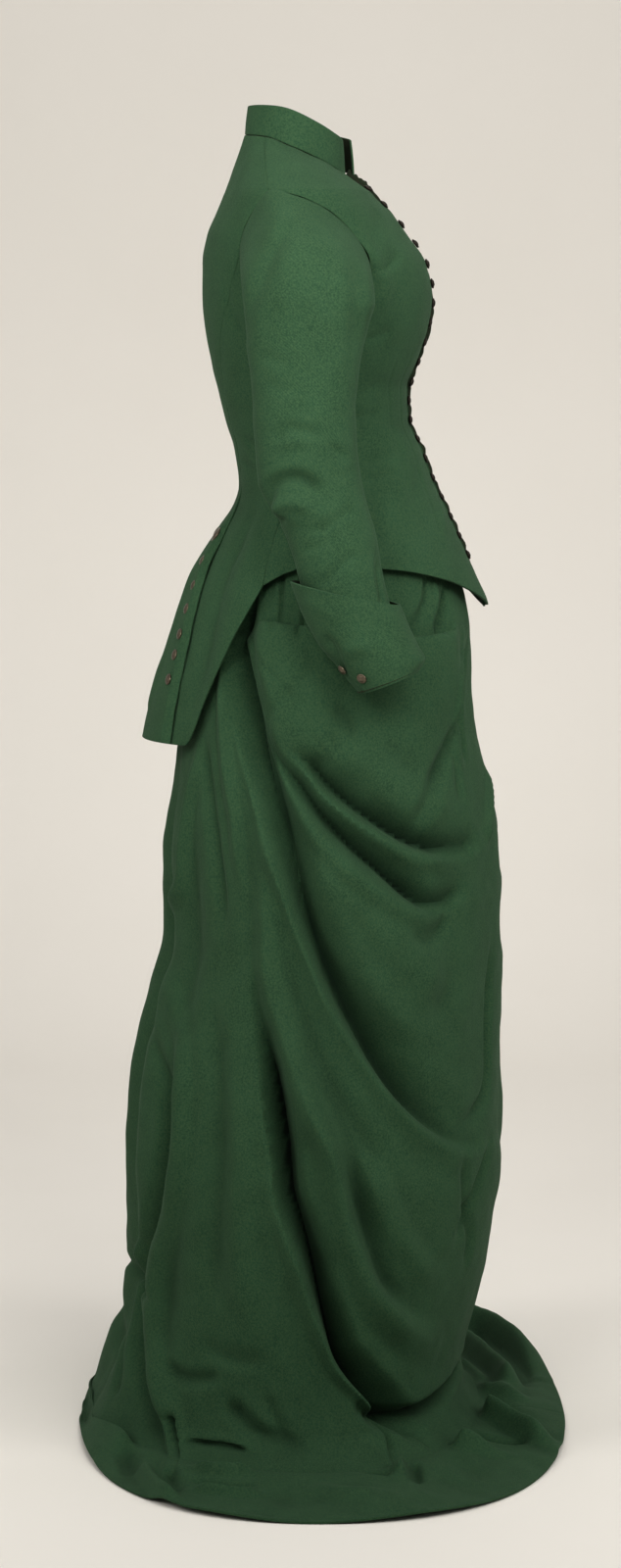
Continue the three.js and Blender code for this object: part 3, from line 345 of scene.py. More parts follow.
# %% The nap: flecks of fibre and slow clouds
def nap_group():
    group, given, result = new_group(
        "Wool nap", [("Place", "NodeSocketVector", None)],
        [("Fleck", "NodeSocketFloat"), ("Cloud", "NodeSocketFloat"), ("Fuzz", "NodeSocketFloat")])
    place = given.outputs["Place"]
    fleck = math_node(group, "MULTIPLY",
                      math_node(group, "SUBTRACT", noise_node(group, place, 520, 3, 0.6), 0.5), 3.2)
    cloud = math_node(group, "MULTIPLY",
                      math_node(group, "SUBTRACT", noise_node(group, place, 34, 4, 0.6), 0.5), 2.2)
    for value, label in ((math_node(group, "ADD", fleck, 0.5, True), "Fleck"),
                         (math_node(group, "ADD", cloud, 0.5, True), "Cloud"),
                         (noise_node(group, place, 1500, 3, 0.65), "Fuzz")):
        group.links.new(value, result.inputs[label])
    return group


twill, nap = twill_group(), nap_group()


# %% The wool material itself
# How strongly the painted shade darkens the colour in the hollows of the folds.
PAINTED_SHADE_STRENGTH = 1.5


def wool_material(name, deep, light, warm, threads=900):
    material = bpy.data.materials.new(name)
    material.use_nodes = True
    tree = material.node_tree
    shader = tree.nodes["Principled BSDF"]
    place = tree.nodes.new("ShaderNodeTexCoord").outputs["Object"]
    flat = tree.nodes.new("ShaderNodeUVMap")
    flat.uv_map = "Cloth"
    weave = tree.nodes.new("ShaderNodeGroup")
    weave.node_tree = twill
    weave.inputs["Threads per metre"].default_value = threads
    tree.links.new(flat.outputs[0], weave.inputs["Cloth"])
    fibres = tree.nodes.new("ShaderNodeGroup")
    fibres.node_tree = nap
    tree.links.new(place, fibres.inputs["Place"])
    ground = colour_mix(tree, fibres.outputs["Cloud"], deep, light)
    flecked = colour_mix(tree, math_node(tree, "MULTIPLY", fibres.outputs["Fleck"], 0.6), ground,
                         warm)
    # Painted shade: the deeper a point lies under the cloth around it, the nearer its colour goes to a much darker
    # copy of the ground.
    sunk = tree.nodes.new("ShaderNodeAttribute")
    sunk.attribute_name = "Hollow"
    painted_shade_amount = math_node(tree, "MULTIPLY", sunk.outputs["Fac"], PAINTED_SHADE_STRENGTH, True)
    painted_shade_colour = tuple(0.28 * c for c in deep[:3]) + (1,)
    tree.links.new(colour_mix(tree, painted_shade_amount, flecked, painted_shade_colour), shader.inputs["Base Color"])
    rough = math_node(tree, "MULTIPLY_ADD", fibres.outputs["Fleck"], 0.08)
    rough.node.inputs[2].default_value = 0.86
    tree.links.new(rough, shader.inputs["Roughness"])
    height = math_node(tree, "ADD", math_node(tree, "MULTIPLY", weave.outputs["Height"], 0.5),
                       fibres.outputs["Fuzz"])
    raised = tree.nodes.new("ShaderNodeBump")
    raised.inputs["Strength"].default_value = 0.45
    raised.inputs["Distance"].default_value = 0.0006
    tree.links.new(height, raised.inputs["Height"])
    tree.links.new(raised.outputs[0], shader.inputs["Normal"])
    shader.inputs["Specular IOR Level"].default_value = 0.15
    shader.inputs["Sheen Weight"].default_value = 0.06
    shader.inputs["Sheen Roughness"].default_value = 0.45
    shader.inputs["Sheen Tint"].default_value = (0.42, 0.62, 0.44, 1)
    return material


wool = wool_material("Green wool", (0.0165, 0.0475, 0.0245, 1), (0.0225, 0.061, 0.032, 1),
                     (0.054, 0.100, 0.048, 1))
# The facing is the cloth of the insides, made as dark as shade: painted shade where it shows.
facing_and_shade = wool_material("Facing, dark as painted shade", (0.008, 0.018, 0.009, 1), (0.014, 0.026, 0.013, 1),
                       (0.03, 0.022, 0.015, 1), 1300)
print("materials:", [m.name for m in bpy.data.materials])

# %% [markdown]
# ## The jacket's body
# The body of the jacket is a stack of rings, flatter in front than behind, from the hip to
# the shoulder. Above the shoulder's tip the ring closes up to the tilted neckline. One
# function gives a point at an angle round the body, from 0 at the centre front to 180 at the
# centre back, and every panel is cut out of that one form, so that they meet at the seams.

# %% Form of the body
# Columns: height, y of the centre front, y of the centre back, half width, y of the side.
BODICE = [
    [740, -182, 200, 172, 0],
    [810, -182, 183, 172, 0],
    [850, -181, 170, 171, 0],
    [893, -179, 156, 169, -2],
    [923, -167, 145, 165, -3],
    [944, -157, 135, 161, -2],
    [972, -144, 118, 152, -2],
    [1003, -130, 97, 138, -2],
    [1023, -120, 91, 128, 0],
    [1067, -103, 97, 116, 2],
    [1095, -91, 106, 115, 6],
    [1129, -90, 114, 120, 10],
    [1158, -101, 121, 127, 12],
    [1200, -114, 128, 138, 12],
    [1224, -117, 130, 144, 12],
    [1261, -110, 130, 149, 14],
    [1290, -91, 125, 153, 20],
    [1313, -74, 116, 155, 24],
    [1331, -56, 108, 153, 27],
    [1338, -50, 105, 149, 28],
]
SHOULDER_TIP = 1338
NECK_TOP = 1395
SHOULDER_ROUND = 5
NECK_LINE = [[0, 1354], [30, 1360], [60, 1371], [90, 1383], [126, 1395], [150, 1397], [180, 1398]]
NECK_HALF_WIDTH, NECK_CENTRE, NECK_FRONT, NECK_BACK = 57, 31, 55, 53


def neck_point(angle):
    c = np.cos(angle * DEG)
    reach = np.where(c > 0, NECK_FRONT, NECK_BACK)
    return np.stack([-NECK_HALF_WIDTH * np.sin(angle * DEG), NECK_CENTRE - reach * c,
                     read(NECK_LINE, np.abs(angle))], 1)


def body_point(angle, height):
    h = np.minimum(height, SHOULDER_TIP)
    centre, c = read(BODICE, h, 4), np.cos(angle * DEG)
    reach = np.where(c > 0, centre - read(BODICE, h, 1), read(BODICE, h, 2) - centre)
    ring = np.stack([-read(BODICE, h, 3) * np.sin(angle * DEG), centre - reach * c, h], 1)
    rise = np.clip((height - SHOULDER_TIP) / (NECK_TOP - SHOULDER_TIP), 0, 1)[:, None]
    point = mix(ring, neck_point(angle), rise)
    point[:, 2] += SHOULDER_ROUND * np.sin(np.pi * rise[:, 0]) * np.sin(angle * DEG) ** 2
    return point


def unit(vectors):
    return vectors / np.linalg.norm(vectors, axis=1)[:, None]


def body_normal(angle, height):
    across = body_point(angle + 0.5, height) - body_point(angle - 0.5, height)
    up = body_point(angle, height + 1.5) - body_point(angle, height - 1.5)
    n = unit(np.cross(across, up))
    outward = np.stack([-np.sin(angle * DEG), -np.cos(angle * DEG), 0 * angle], 1)
    return n * np.sign((n * outward).sum(1))[:, None]


# %% [markdown]
# ## Creases of the jacket
# A tailored jacket is smooth, and what breaks its light are a few soft drags: at the waist
# where the figure bends, under the arm, in front of the sleeve, and the pressed lines of the
# darts. They lie on a flat map of the body: across is the way round, up is the height.

# %% Creases of the body, and the darts
BODY_RADIUS = 130


def on_body(*points):
    """Points [angle, height] on the flat map."""
    return [[-angle * DEG * BODY_RADIUS, height] for angle, height in points]


DART_LINES = [
    [[24, 1190], [24, 1150], [23, 1100], [25, 1040], [30, 975], [33, 940]],
    [[38, 1178], [38, 1140], [37, 1095], [40, 1035], [46, 985]],
]
body_creases = [fold(on_body(*line), 1.1, 3.2, 3.2, crisp=0.8, ends=(0.1, 0.1))
                for line in DART_LINES]
body_creases += [
    fold(on_body([70, 1050], [55, 1056], [42, 1063], [33, 1068]), 2.6, 11, 8),
    fold(on_body([72, 1034], [58, 1036], [46, 1045]), 1.8, 10, 8),
    fold(on_body([70, 1098], [58, 1101], [48, 1106]), 1.8, 9, 7),
    fold(on_body([64, 1122], [52, 1132], [45, 1140]), 1.5, 9, 9),
    fold(on_body([66, 1180], [55, 1184], [46, 1192]), 2.2, 10, 8),
    fold(on_body([58, 1250], [48, 1258], [34, 1276]), 3.2, 15, 8, crisp=0.2),
    fold(on_body([62, 1270], [60, 1240], [66, 1215]), 3.0, 12, 14),
    fold(on_body([56, 1290], [54, 1262], [52, 1235], [56, 1205]), -2.6, 13, 15),
    fold(on_body([30, 1320], [44, 1300], [54, 1286]), 1.6, 16, 13),
    fold(on_body([150, 1080], [140, 1070], [126, 1062], [116, 1060]), 1.8, 12, 8),
    fold(on_body([160, 1052], [146, 1044], [130, 1040], [118, 1042]), 2.0, 11, 9),
    fold(on_body([128, 1186], [138, 1210], [142, 1240]), 2.6, 10, 15),
    fold(on_body([118, 1150], [124, 1180], [128, 1205]), -1.6, 12, 12),
    fold(on_body([22, 1048], [32, 1026], [44, 1008]), 1.5, 14, 10),
    fold(on_body([12, 1012], [22, 985], [34, 962]), -1.4, 16, 14),
    fold(on_body([96, 1010], [104, 985], [108, 950]), -1.6, 18, 16),
    fold(on_body([140, 1000], [143, 930], [140, 860], [138, 800]), 3.0, 16, 20),
    fold(on_body([172, 960], [172, 880], [174, 790]), -2.5, 15, 15, ends=(0.1, 1)),
]


def body_cloth(angle, height, lift=0, seed=0):
    """The cloth's outside on the body, with its creases."""
    across = -angle * DEG * BODY_RADIUS
    depth = relief(body_creases, across,
                   height) - 0.28 * soft_noise(across + 40 * seed, height, 46, 5 + seed)
    calm = smooth((np.abs(angle) - 3) / 10)
    return body_point(angle, height) + body_normal(angle, height) * (lift - depth * calm)[:, None]


def mirrored(points):
    return points * np.array([-1, 1, 1])


# %% [markdown]
# ## The panels of the body
# Between two seams a panel runs from its hem to the armhole or the shoulder. Both its edges
# are lists of heights, row by row, with the seam's angle at each height. The rows in between
# are found along those lists, so a panel keeps its corners.

# %% Seams and panel edges
UNDERARM = 1222
BACK_SEAM_TOP = 1268
PLEAT_TOP = 998
SIDE_SEAM = [[890, 84], [1060, 80], [UNDERARM, 86]]
UNDERARM_SEAM = [[890, 117], [960, 117], [1060, 118], [1160, 114], [1228, 114]]
BACK_SEAM = [[PLEAT_TOP, 166], [1040, 164], [1120, 158], [1172, 151], [1221, 140],
             [BACK_SEAM_TOP, 130]]
FRONT_ARMHOLE = [[UNDERARM, 86], [1230, 72], [1246, 62], [1268, 59], [1292, 62], [1314, 70],
                 [1328, 84], [1333, 94], [SHOULDER_TIP, 113]]
BACK_ARMHOLE = [[1228, 114], [1238, 121], [1252, 127], [BACK_SEAM_TOP, 130], [1290, 129],
                [1314, 124], [SHOULDER_TIP, 113]]
SHOULDER_SEAM = [[SHOULDER_TIP, 113], [1366, 119], [NECK_TOP, 126]]
FRONT_HEM = [[0, 893], [8, 895], [22, 908], [40, 926], [62, 940], [84, 946]]
SIDE_HEM = [[84, 946], [96, 946], [108, 938], [117, 925]]
TAIL_HEM = [[0, 925], [0.18, 880], [0.42, 805], [0.62, 752], [1, 752]]
TAIL_SPREAD = [[752, 157], [850, 160], [PLEAT_TOP, 166]]
PLEAT_OVERLAP = [[752, 149], [850, 153], [PLEAT_TOP, 166]]
TAIL_HEIGHT, TAIL_TUCK = 752, 9
LAP_ANGLE = -7
UNDER_LAP = CLOTH + 1.2
BASQUE_ROWS = 5
WAIST_ROWS = [1060, 1092, 1125, 1158, 1190]
ARMHOLE_ROWS = [1236, 1256, 1280, 1304, 1322, 1333]
SHOULDER_ROWS = [SHOULDER_TIP, 1366, NECK_TOP]


def edge_heights(hem, *above):
    return [mix(hem, WAIST_ROWS[0], k / BASQUE_ROWS)
            for k in range(BASQUE_ROWS)] + WAIST_ROWS + list(above)


def along_edge(heights, v):
    return np.interp(v, np.linspace(0, 1, len(heights)), heights)


def seam_angle(height, *seams):
    """The angle at a height, on seams that follow each other upwards."""
    angle = read(seams[0], height)
    for seam in seams[1:]:
        angle = np.where(height >= seam[0][0], read(seam, height), angle)
    return angle


def panel(left, left_seams, right, right_seams, hem, lift=None, seed=0, mirror=False, closer=1.0):
    """left and right are the heights of the two edges. hem gives the lowest row's height.
    With closer above 1 the columns crowd towards the left edge."""
    rows = len(left) - 1

    def place(u, v):
        a, b = along_edge(left, v), along_edge(right, v)
        u = u ** closer
        angle = mix(left_seams(a), right_seams(b), u)
        height = mix(a, b, u)
        dip = hem(u) - mix(left[0], right[0], u)
        height = height + dip * np.clip(1 - v * rows / BASQUE_ROWS, 0, 1)
        raised = lift(angle, height) if lift else 0 * angle
        points = body_cloth(angle, height, raised, seed)
        return mirrored(points) if mirror else points
    return place


# %% The fronts
def front_lift(angle, height):
    """The left front runs under the right one, and comes out to the same surface at the side."""
    return -UNDER_LAP * (1 - smooth((angle - 12) / 20))


def gaping(angle, height):
    """The right front's edge springs away from the buttons, in small uneven scallops."""
    between = 0.5 - 0.5 * np.cos(2 * math.pi * (height - 948) / BUTTON_STEP)
    uneven = soft_noise(0 * height, height, 9, 51)
    spring = read(FRONT_SPRING, height, 1) * (0.8 + 0.3 * between + 0.16 * uneven)
    return spring * smooth((SPRING_AND_SHADE_EDGE - angle) / 1.3)


# Columns: height, how far the buttoned edge stands off.
FRONT_SPRING = [[893, 0], [940, 1], [955, 4], [1200, 4.4], [1216, 3.6], [1228, 1.2], [1300, 0.8],
                [1326, 2.5], [1344, 5.5], [1360, 7]]
BUTTON_STEP = (1344 - 948) / 19
SPRING_AND_SHADE_EDGE = -2.6
FRONT_CROWDING = 1.35
SHADE_STRIP_SHARE = ((SPRING_AND_SHADE_EDGE - LAP_ANGLE) / (86 - LAP_ANGLE)) ** (1 / FRONT_CROWDING)
front_outer = edge_heights(946, UNDERARM, *ARMHOLE_ROWS, *SHOULDER_ROWS)
front_centre = edge_heights(893, UNDERARM, *ARMHOLE_ROWS, *SHOULDER_ROWS)


def front_side_angle(height):
    return seam_angle(height, SIDE_SEAM, FRONT_ARMHOLE, SHOULDER_SEAM)


def front_hem(u):
    return read(FRONT_HEM, 84 * u)


# The right front's sprung edge shows the dark facing outside, as painted shade in the band along the buttons.
for side, first, lift, mirror in (("right", LAP_ANGLE, gaping, False),
                                  ("left", 0, front_lift, True)):
    edge_angle = (lambda h, first=first: 0 * h + first)
    place = panel(front_centre, edge_angle, front_outer, front_side_angle, front_hem, lift, 1,
                  mirror,
                  FRONT_CROWDING)
    piece = make_cloth(f"front_{side}_cloth", 80, 204, place, (0, 10, 1150),
                       strip=SHADE_STRIP_SHARE if side == "right" else 0)
    stands_for(piece, f"front_{side}")

# %% The underarm sides, the side backs with their tails, and the backs
side_front = edge_heights(946, UNDERARM)
side_rear = edge_heights(925, 1228)
tail_rear = edge_heights(TAIL_HEIGHT, BACK_SEAM_TOP)
back_outer = edge_heights(TAIL_HEIGHT, BACK_SEAM_TOP, 1290, 1314, *SHOULDER_ROWS)


def tail_lift(angle, height):
    return -TAIL_TUCK * smooth((1032 - height) / 90) * smooth((angle - 128) / 14)


def pleat_lift(angle, height):
    """The pleat's folded edge lies down on the tail beneath it."""
    edge = read(PLEAT_OVERLAP, height)
    near = smooth((edge + 3.2 - angle) / 3.2) * smooth((1005 - height) / 40)
    return -(TAIL_TUCK - CLOTH - 0.9) * near


def side_hem(u):
    return read(SIDE_HEM, mix(84, 117, u))


def tail_hem(u):
    return read(TAIL_HEM, u)


def level_hem(u):
    return 0 * u + TAIL_HEIGHT


def side_angle(height):
    return read(SIDE_SEAM, height)


def underarm_angle(height):
    return read(UNDERARM_SEAM, height)


def tail_angle(height):
    return seam_angle(height, TAIL_SPREAD, BACK_SEAM)


def back_angle(height):
    return seam_angle(height, PLEAT_OVERLAP, BACK_SEAM, BACK_ARMHOLE[3:], SHOULDER_SEAM)


def centre_angle(height):
    return 0 * height + 180


BODY_PANELS = [
    ("side", 18, 90, (side_front, side_angle, side_rear, underarm_angle, side_hem, None, 2)),
    ("side_back", 34, 140,
     (side_rear, underarm_angle, tail_rear, tail_angle, tail_hem, tail_lift, 3)),
    ("back", 30, 180, (back_outer, back_angle, back_outer, centre_angle, level_hem, pleat_lift, 4)),
]
for kind, across, up, shape in BODY_PANELS:
    for side in ("right", "left"):
        place = panel(*shape, mirror=side == "left")
        piece = make_cloth(f"{kind}_{side}_cloth", across, up, place, (0, 10, 1100))
        stands_for(piece, f"{kind}_{side}")
print("body panels:", len(cloth_pieces))

# %% [markdown]
# ## The stand collar
# The collar is a straight band, cut to the neckline and stiffened, so it stands up with a
# slight lean inwards. It opens at the centre front, where its corners don't quite meet.

# %% Collar
COLLAR_RISE = [[0, 37], [45, 38], [90, 39], [126, 33], [180, 30]]
COLLAR_LEAN, COLLAR_OPENING, COLLAR_GAP = 3, 4, 0.5
COLLAR_STAND = 9  # how far its left end stands forward of the right one


def collar_place(u, v):
    turn = mix(COLLAR_OPENING, 360 - COLLAR_OPENING, u)
    angle = np.where(turn > 180, 360 - turn, turn)
    p = neck_point(angle)
    inward = unit(np.stack([-p[:, 0], NECK_CENTRE - p[:, 1], 0 * angle], 1))
    easy = 0.35 * soft_noise(turn * DEG * 57, 40 * v, 60, 11)
    p += inward * (COLLAR_LEAN * v + easy)[:, None]
    p[:, 2] += COLLAR_GAP + read(COLLAR_RISE, angle) * v
    p[:, 0] = np.where(turn > 180, -p[:, 0], p[:, 0])
    p[:, 1] -= COLLAR_STAND * smooth((turn - 326) / 26)
    return p


# The collar's inside is the dark facing, which shows as painted shade where the left end stands forward.
piece = make_cloth("collar_cloth", 120, 14, collar_place, (0, NECK_CENTRE, 1390))
stands_for(piece, "collar")

# %% [markdown]
# ## The sleeves
# A coat sleeve is cut in two, an upper and an under piece, and bent at the elbow. Its top is
# the armhole's loop, and from there the cap turns over into a tube whose sections follow
# the arm. The creases are what makes it cloth: one deep fold behind the elbow with a swell
# under it, short arcs above, and long drags from the back of the armhole.

# %% Form of the sleeve and the cuff
# Columns: share of the length, back y, back z, front y, front z, x of the middle, half width.
SLEEVE = [
    [0, 84, 1212, -53, 1218, -197, 46],
    [0.1, 80, 1176, -45, 1190, -199, 45],
    [0.2, 75, 1134, -36, 1148, -202, 44],
    [0.3, 73, 1094, -33, 1105, -205, 44],
    [0.38, 71, 1062, -35, 1068, -207, 43],
    [0.43, 69, 1042, -38, 1046, -208, 43],
    [0.48, 66, 1022, -42, 1026, -210, 43],
    [0.53, 60, 1004, -47, 1008, -212, 43],
    [0.58, 44, 990, -53, 986, -214, 41],
    [0.66, 33, 964, -60, 953, -218, 40],
    [0.74, 25, 934, -66, 920, -222, 38],
    [0.85, 4, 890, -80, 880, -228, 35],
    [1, -34, 838, -90, 853, -234, 30],
]
CUFF = [
    [0, 34, 934, -78, 911, -228, 50],
    [0.3, 22, 902, -87, 890, -231, 47],
    [0.55, 9, 876, -97, 868, -234, 44],
    [0.8, -14, 845, -104, 855, -236, 41],
    [1, -37, 819, -98, 843, -238, 36],
]
CUFF_TURN = 3


def tube_point(sections, along, turn):
    """turn is 0 at the back, 90 on the outside, 180 in front and 270 towards the body."""
    back_y, back_z, front_y, front_z, x, half = (read(sections, along, c) for c in range(1, 7))
    c = np.cos(turn * DEG)
    return np.stack([x - half * np.sin(turn * DEG), (back_y + front_y) / 2 + (back_y - front_y) / 2
                     * c,
                     (back_z + front_z) / 2 + (back_z - front_z) / 2 * c], 1)


# %% The loop of the armhole, as the body's panels leave it
def one(surface, angle, height):
    return surface(np.array([float(angle)]), np.array([float(height)]))[0]


armhole = [one(body_point, read(FRONT_ARMHOLE, h), h)
           for h in reversed(ARMHOLE_ROWS + [SHOULDER_TIP])]
armhole += [one(body_point, mix(86, 114, k / 3), mix(UNDERARM, 1228, k / 3)) for k in range(4)]
armhole += [one(body_point, mix(114, 130, k / 5), mix(1228, BACK_SEAM_TOP, k / 5))
            for k in range(1, 6)]
armhole += [one(body_point, read(BACK_ARMHOLE, h), h) for h in (1290, 1314)]
armhole = np.array(armhole)
LOOP = len(armhole)
armhole_centre = armhole.mean(0)
loop_turns = np.degrees(np.arctan2(armhole[:, 2] - armhole_centre[2], armhole[:, 1]
                                   - armhole_centre[1]))
loop_turns = np.where(loop_turns < 60, loop_turns + 360, loop_turns)
even_turns = 90 + 360 * (np.arange(LOOP) + 0.35) / LOOP
FRONT_SLEEVE_SEAM, BACK_SLEEVE_SEAM = 7, 14


def round_loop(values, at):
    """Values at a place on the loop, through a smooth closed curve."""
    i = np.floor(at).astype(int)
    t = (at - i)[:, None] if values.ndim > 1 else at - i
    a, b, c, d = (values[(i + k) % LOOP] for k in (-1, 0, 1, 2))
    return 0.5 * (2 * b + (c - a) * t + (2 * a - 5 * b + 4 * c - d) * t**2 + (3 * b - a - 3 * c + d)
                  * t**3)


# %% Creases of the sleeve. Their paths are [y, height], seen from the side.
def from_side(*points):
    return [[-y, height] for y, height in points]


sleeve_creases = [
    fold(from_side([64, 1000], [60, 1013], [56, 1030], [43, 1040], [25, 1042], [9, 1034],
                   [-2, 1022]), 8, 13, 12, ends=(0.6, 0.1)),
    fold(from_side([58, 1006], [44, 1014], [28, 1016], [10, 1008]), -5.5, 13, 13, crisp=0.1),
    fold(from_side([70, 1004], [56, 1000], [47, 996], [38, 997]), 5, 9, 7, crisp=0.6,
         ends=(0.8, 0.1)),
    fold(from_side([52, 1080], [47, 1083], [37, 1093], [27, 1091], [15, 1089], [0, 1083]), 3.2, 11,
         9),
    fold(from_side([44, 1074], [28, 1079], [12, 1076]), -2.2, 10, 10),
    fold(from_side([-4, 1075], [-24, 1063]), 2.8, 9, 8),
    fold(from_side([30, 1312], [37, 1301], [50, 1280], [58, 1262], [66, 1243], [78, 1215],
                   [84, 1188]), 4.2, 16, 13, ends=(0.1, 0.5)),
    fold(from_side([16, 1290], [34, 1250], [48, 1205]), -2.4, 22, 18),
    fold(from_side([-30, 1270], [-36, 1240], [-34, 1200], [-30, 1160]), 2.6, 14, 12),
    fold(from_side([-14, 1262], [-20, 1225], [-20, 1180]), -2.0, 13, 13),
    fold(from_side([13, 984], [-4, 992], [-20, 1003], [-34, 1012]), 3.0, 13, 9),
    fold(from_side([24, 966], [6, 972], [-16, 984]), 1.8, 12, 8),
    fold(from_side([6, 928], [-8, 941], [-22, 956], [-36, 966]), 2.8, 12, 9),
    fold(from_side([-20, 1185], [-27, 1150], [-32, 1110]), 1.2, 4, 4, crisp=0.9),
    fold(from_side([-55, 960], [-58, 935], [-63, 900]), 5, 7, 5, crisp=0.5, ends=(0.2, 1)),
    fold(from_side([60, 1140], [44, 1132], [24, 1134]), 1.6, 12, 10),
    fold(from_side([64, 1170], [50, 1160], [34, 1160]), 1.3, 12, 10),
    fold(from_side([-34, 1052], [-20, 1044], [-6, 1046]), 1.8, 9, 9),
]
CAP_SHARE = 0.2
CAP_SLOPE = 0.7
SLEEVE_ROWS = [0, 0.08, 0.18, 0.28, 0.36, 0.42, 0.455, 0.49, 0.525, 0.56, 0.61, 0.69, 0.8, 1]


def sleeve_form(at, v):
    """at is the place on the loop, and v the share of the way from the armhole to the wrist."""
    turns = even_turns[0] + 360 * at / LOOP + round_loop(loop_turns - even_turns, at)
    even = even_turns[0] + 360 * at / LOOP
    start = round_loop(armhole, at)
    start = start + 0.5 * unit(armhole_centre - start)
    t = np.clip(v / CAP_SHARE, 0, 1)[:, None]
    end = tube_point(SLEEVE, 0 * v, turns)
    reach = end - start
    drop = CAP_SLOPE * np.abs(reach[:, 0]) * smooth((start[:, 2] - 1240) / 90)
    leave = start + reach * np.array([0.5, 0.25, 0.02]) - 0.5 * drop[:, None] * np.array([0, 0, 1])
    arrive = end - reach * np.array([0, 0.2, 0.5])
    cap = (1 - t) ** 3 * start + 3 * t * (1
                                          - t) ** 2 * leave + 3 * t**2 * (1 - t) * arrive + t**3 * end
    along = np.clip((v - CAP_SHARE) / (1 - CAP_SHARE), 0, 1)
    settle = smooth(np.interp(along, SLEEVE_ROWS, np.arange(len(SLEEVE_ROWS))) / 4)
    tube = tube_point(SLEEVE, along, mix(turns, even, settle))
    return np.where(v[:, None] <= CAP_SHARE, cap, tube)


def sleeve_cloth(at, v):
    form = sleeve_form(at, v)
    step = 0.004
    low, high = np.clip(v - step, 0, 1), np.clip(v + step, 0, 1)
    normal = unit(np.cross(sleeve_form(at + 0.05, v) - sleeve_form(at - 0.05, v),
                           sleeve_form(at, high) - sleeve_form(at, low)))
    to_middle = np.stack([form[:, 0] + 205, form[:, 1] - 15, 0 * at], 1)
    normal *= np.sign((normal * to_middle).sum(1).mean())
    outer = smooth((-form[:, 0] - 186) / 30)
    inner = smooth((form[:, 0] + 224) / 30)
    across, up = -form[:, 1], form[:, 2]
    depth = relief(sleeve_creases, across, up) * (outer + 0.45 * inner)
    depth = depth - 0.35 * soft_noise(across, up, 40, 21)
    calm = smooth(v / 0.1)
    return form - normal * (depth * calm)[:, None]


def sleeve_place(first, last, mirror):
    def place(u, v):
        points = sleeve_cloth(mix(float(first), float(last), u), 1 - v)
        return mirrored(points) if mirror else points
    return place


for kind, first, last, across in (("under_sleeve", FRONT_SLEEVE_SEAM, BACK_SLEEVE_SEAM, 36),
                                  ("upper_sleeve", BACK_SLEEVE_SEAM, FRONT_SLEEVE_SEAM + LOOP, 60)):
    for side, sign in (("right", -1), ("left", 1)):
        piece = make_cloth(f"{kind}_{side}_cloth", across, 170, sleeve_place(first, last, sign > 0),
                           (sign * 205, 15, 1060))
        stands_for(piece, f"{kind}_{side}")

# %% [markdown]
# ## The cuffs
# The cuff is a wide band, turned back over the wrist, whose upper rim stands clear of the
# sleeve. It is open along its back edge, where one end lies over the other under two small
# buttons. The bottom edge turns in to the sleeve, which carries it.

# %% Cuffs
cuff_creases = [
    fold(from_side([2, 884], [-9, 870], [-14, 856], [-18, 845]), 4.5, 9, 12, crisp=0.5,
         ends=(0.1, 0.6)),
    fold(from_side([-18, 850], [-24, 838], [-36, 826], [-44, 814]), 1.6, 3, 5, crisp=0.9,
         ends=(0.6, 1)),
    fold(from_side([-20, 862], [-32, 868], [-50, 870]), -2.2, 14, 12),
    fold(from_side([22, 920], [2, 908], [-20, 898]), -1.4, 12, 14),
]


def cuff_place(mirror):
    rows = 6 / 7

    def place(u, v):
        down = 1 - v
        along = np.clip(down / rows, 0, 1)
        turn = 360 * u + 250
        p = tube_point(CUFF, along, turn)
        middle = tube_point(CUFF, along, turn + 180)
        outward = unit(p - middle)
        outside = smooth((-p[:, 0] - 215) / 25)
        depth = relief(cuff_creases, -p[:, 1], p[:, 2]) * outside
        wave = 1.2 * np.sin(2 * turn * DEG + 1) * (1
                                                   - along) + 0.4 * soft_noise(turn * DEG * 45, 90 * along, 50, 31)
        p = p + outward * (wave - depth)[:, None]
        wrist = tube_point(SLEEVE, 0 * v + 1, turn) + CUFF_TURN * np.array([0, -0.55, -0.83])
        inwards = smooth((down - rows) / (1 - rows))[:, None]
        p = mix(p, wrist, inwards)
        return mirrored(p) if mirror else p
    return place


for side, sign in (("right", -1), ("left", 1)):
    piece = make_cloth(f"cuff_{side}_cloth", 96, 42, cuff_place(sign > 0), (sign * 232, -40, 880))
    stands_for(piece, f"cuff_{side}")

# %% [markdown]
# ## The skirt
# The skirt is a cone of rings that widens to the floor, where the cloth spreads out in a low
# brim. On the right it is caught up at the hip, so long folds sweep down and forward from
# there, each with a round ridge and a narrow dark valley under it. The other sides fall in
# long upright folds. They are listed by the place that they run through.

# %% Form of the skirt
# Columns: height, y of the front, y of the back, reach to the right, reach to the left,
# y of the widest place.
SKIRT = [
    [14, -176, 258, 322, 428, 0],
    [28, -162, 250, 286, 384, 2],
    [45, -154, 242, 270, 358, 4],
    [80, -155, 230, 262, 342, 6],
    [127, -166, 213, 258, 334, 8],
    [180, -179, 205, 254, 324, 8],
    [240, -189, 206, 250, 312, 8],
    [300, -197, 207, 246, 298, 8],
    [352, -196, 204, 240, 284, 8],
    [416, -194, 194, 232, 268, 6],
    [475, -195, 179, 226, 252, 4],
    [539, -195, 163, 222, 236, 2],
    [595, -196, 166, 218, 222, 2],
    [637, -193, 167, 214, 212, 2],
    [700, -180, 162, 206, 198, 2],
    [760, -166, 155, 192, 182, 0],
    [800, -161, 149, 180, 172, -2],
    [840, -160, 141, 167, 165, -4],
    [870, -159, 134, 161, 160, -5],
    [900, -154, 126, 157, 156, -6],
    [945, -139, 111, 149, 149, -6],
    [980, -122, 98, 138, 138, -4],
    [1015, -104, 86, 120, 120, -2],
    [1035, -97, 84, 107, 107, 0],
]
HEM_FRONT, HEM_BACK, HEM_RIGHT, HEM_LEFT = 265, 266, 458, 566
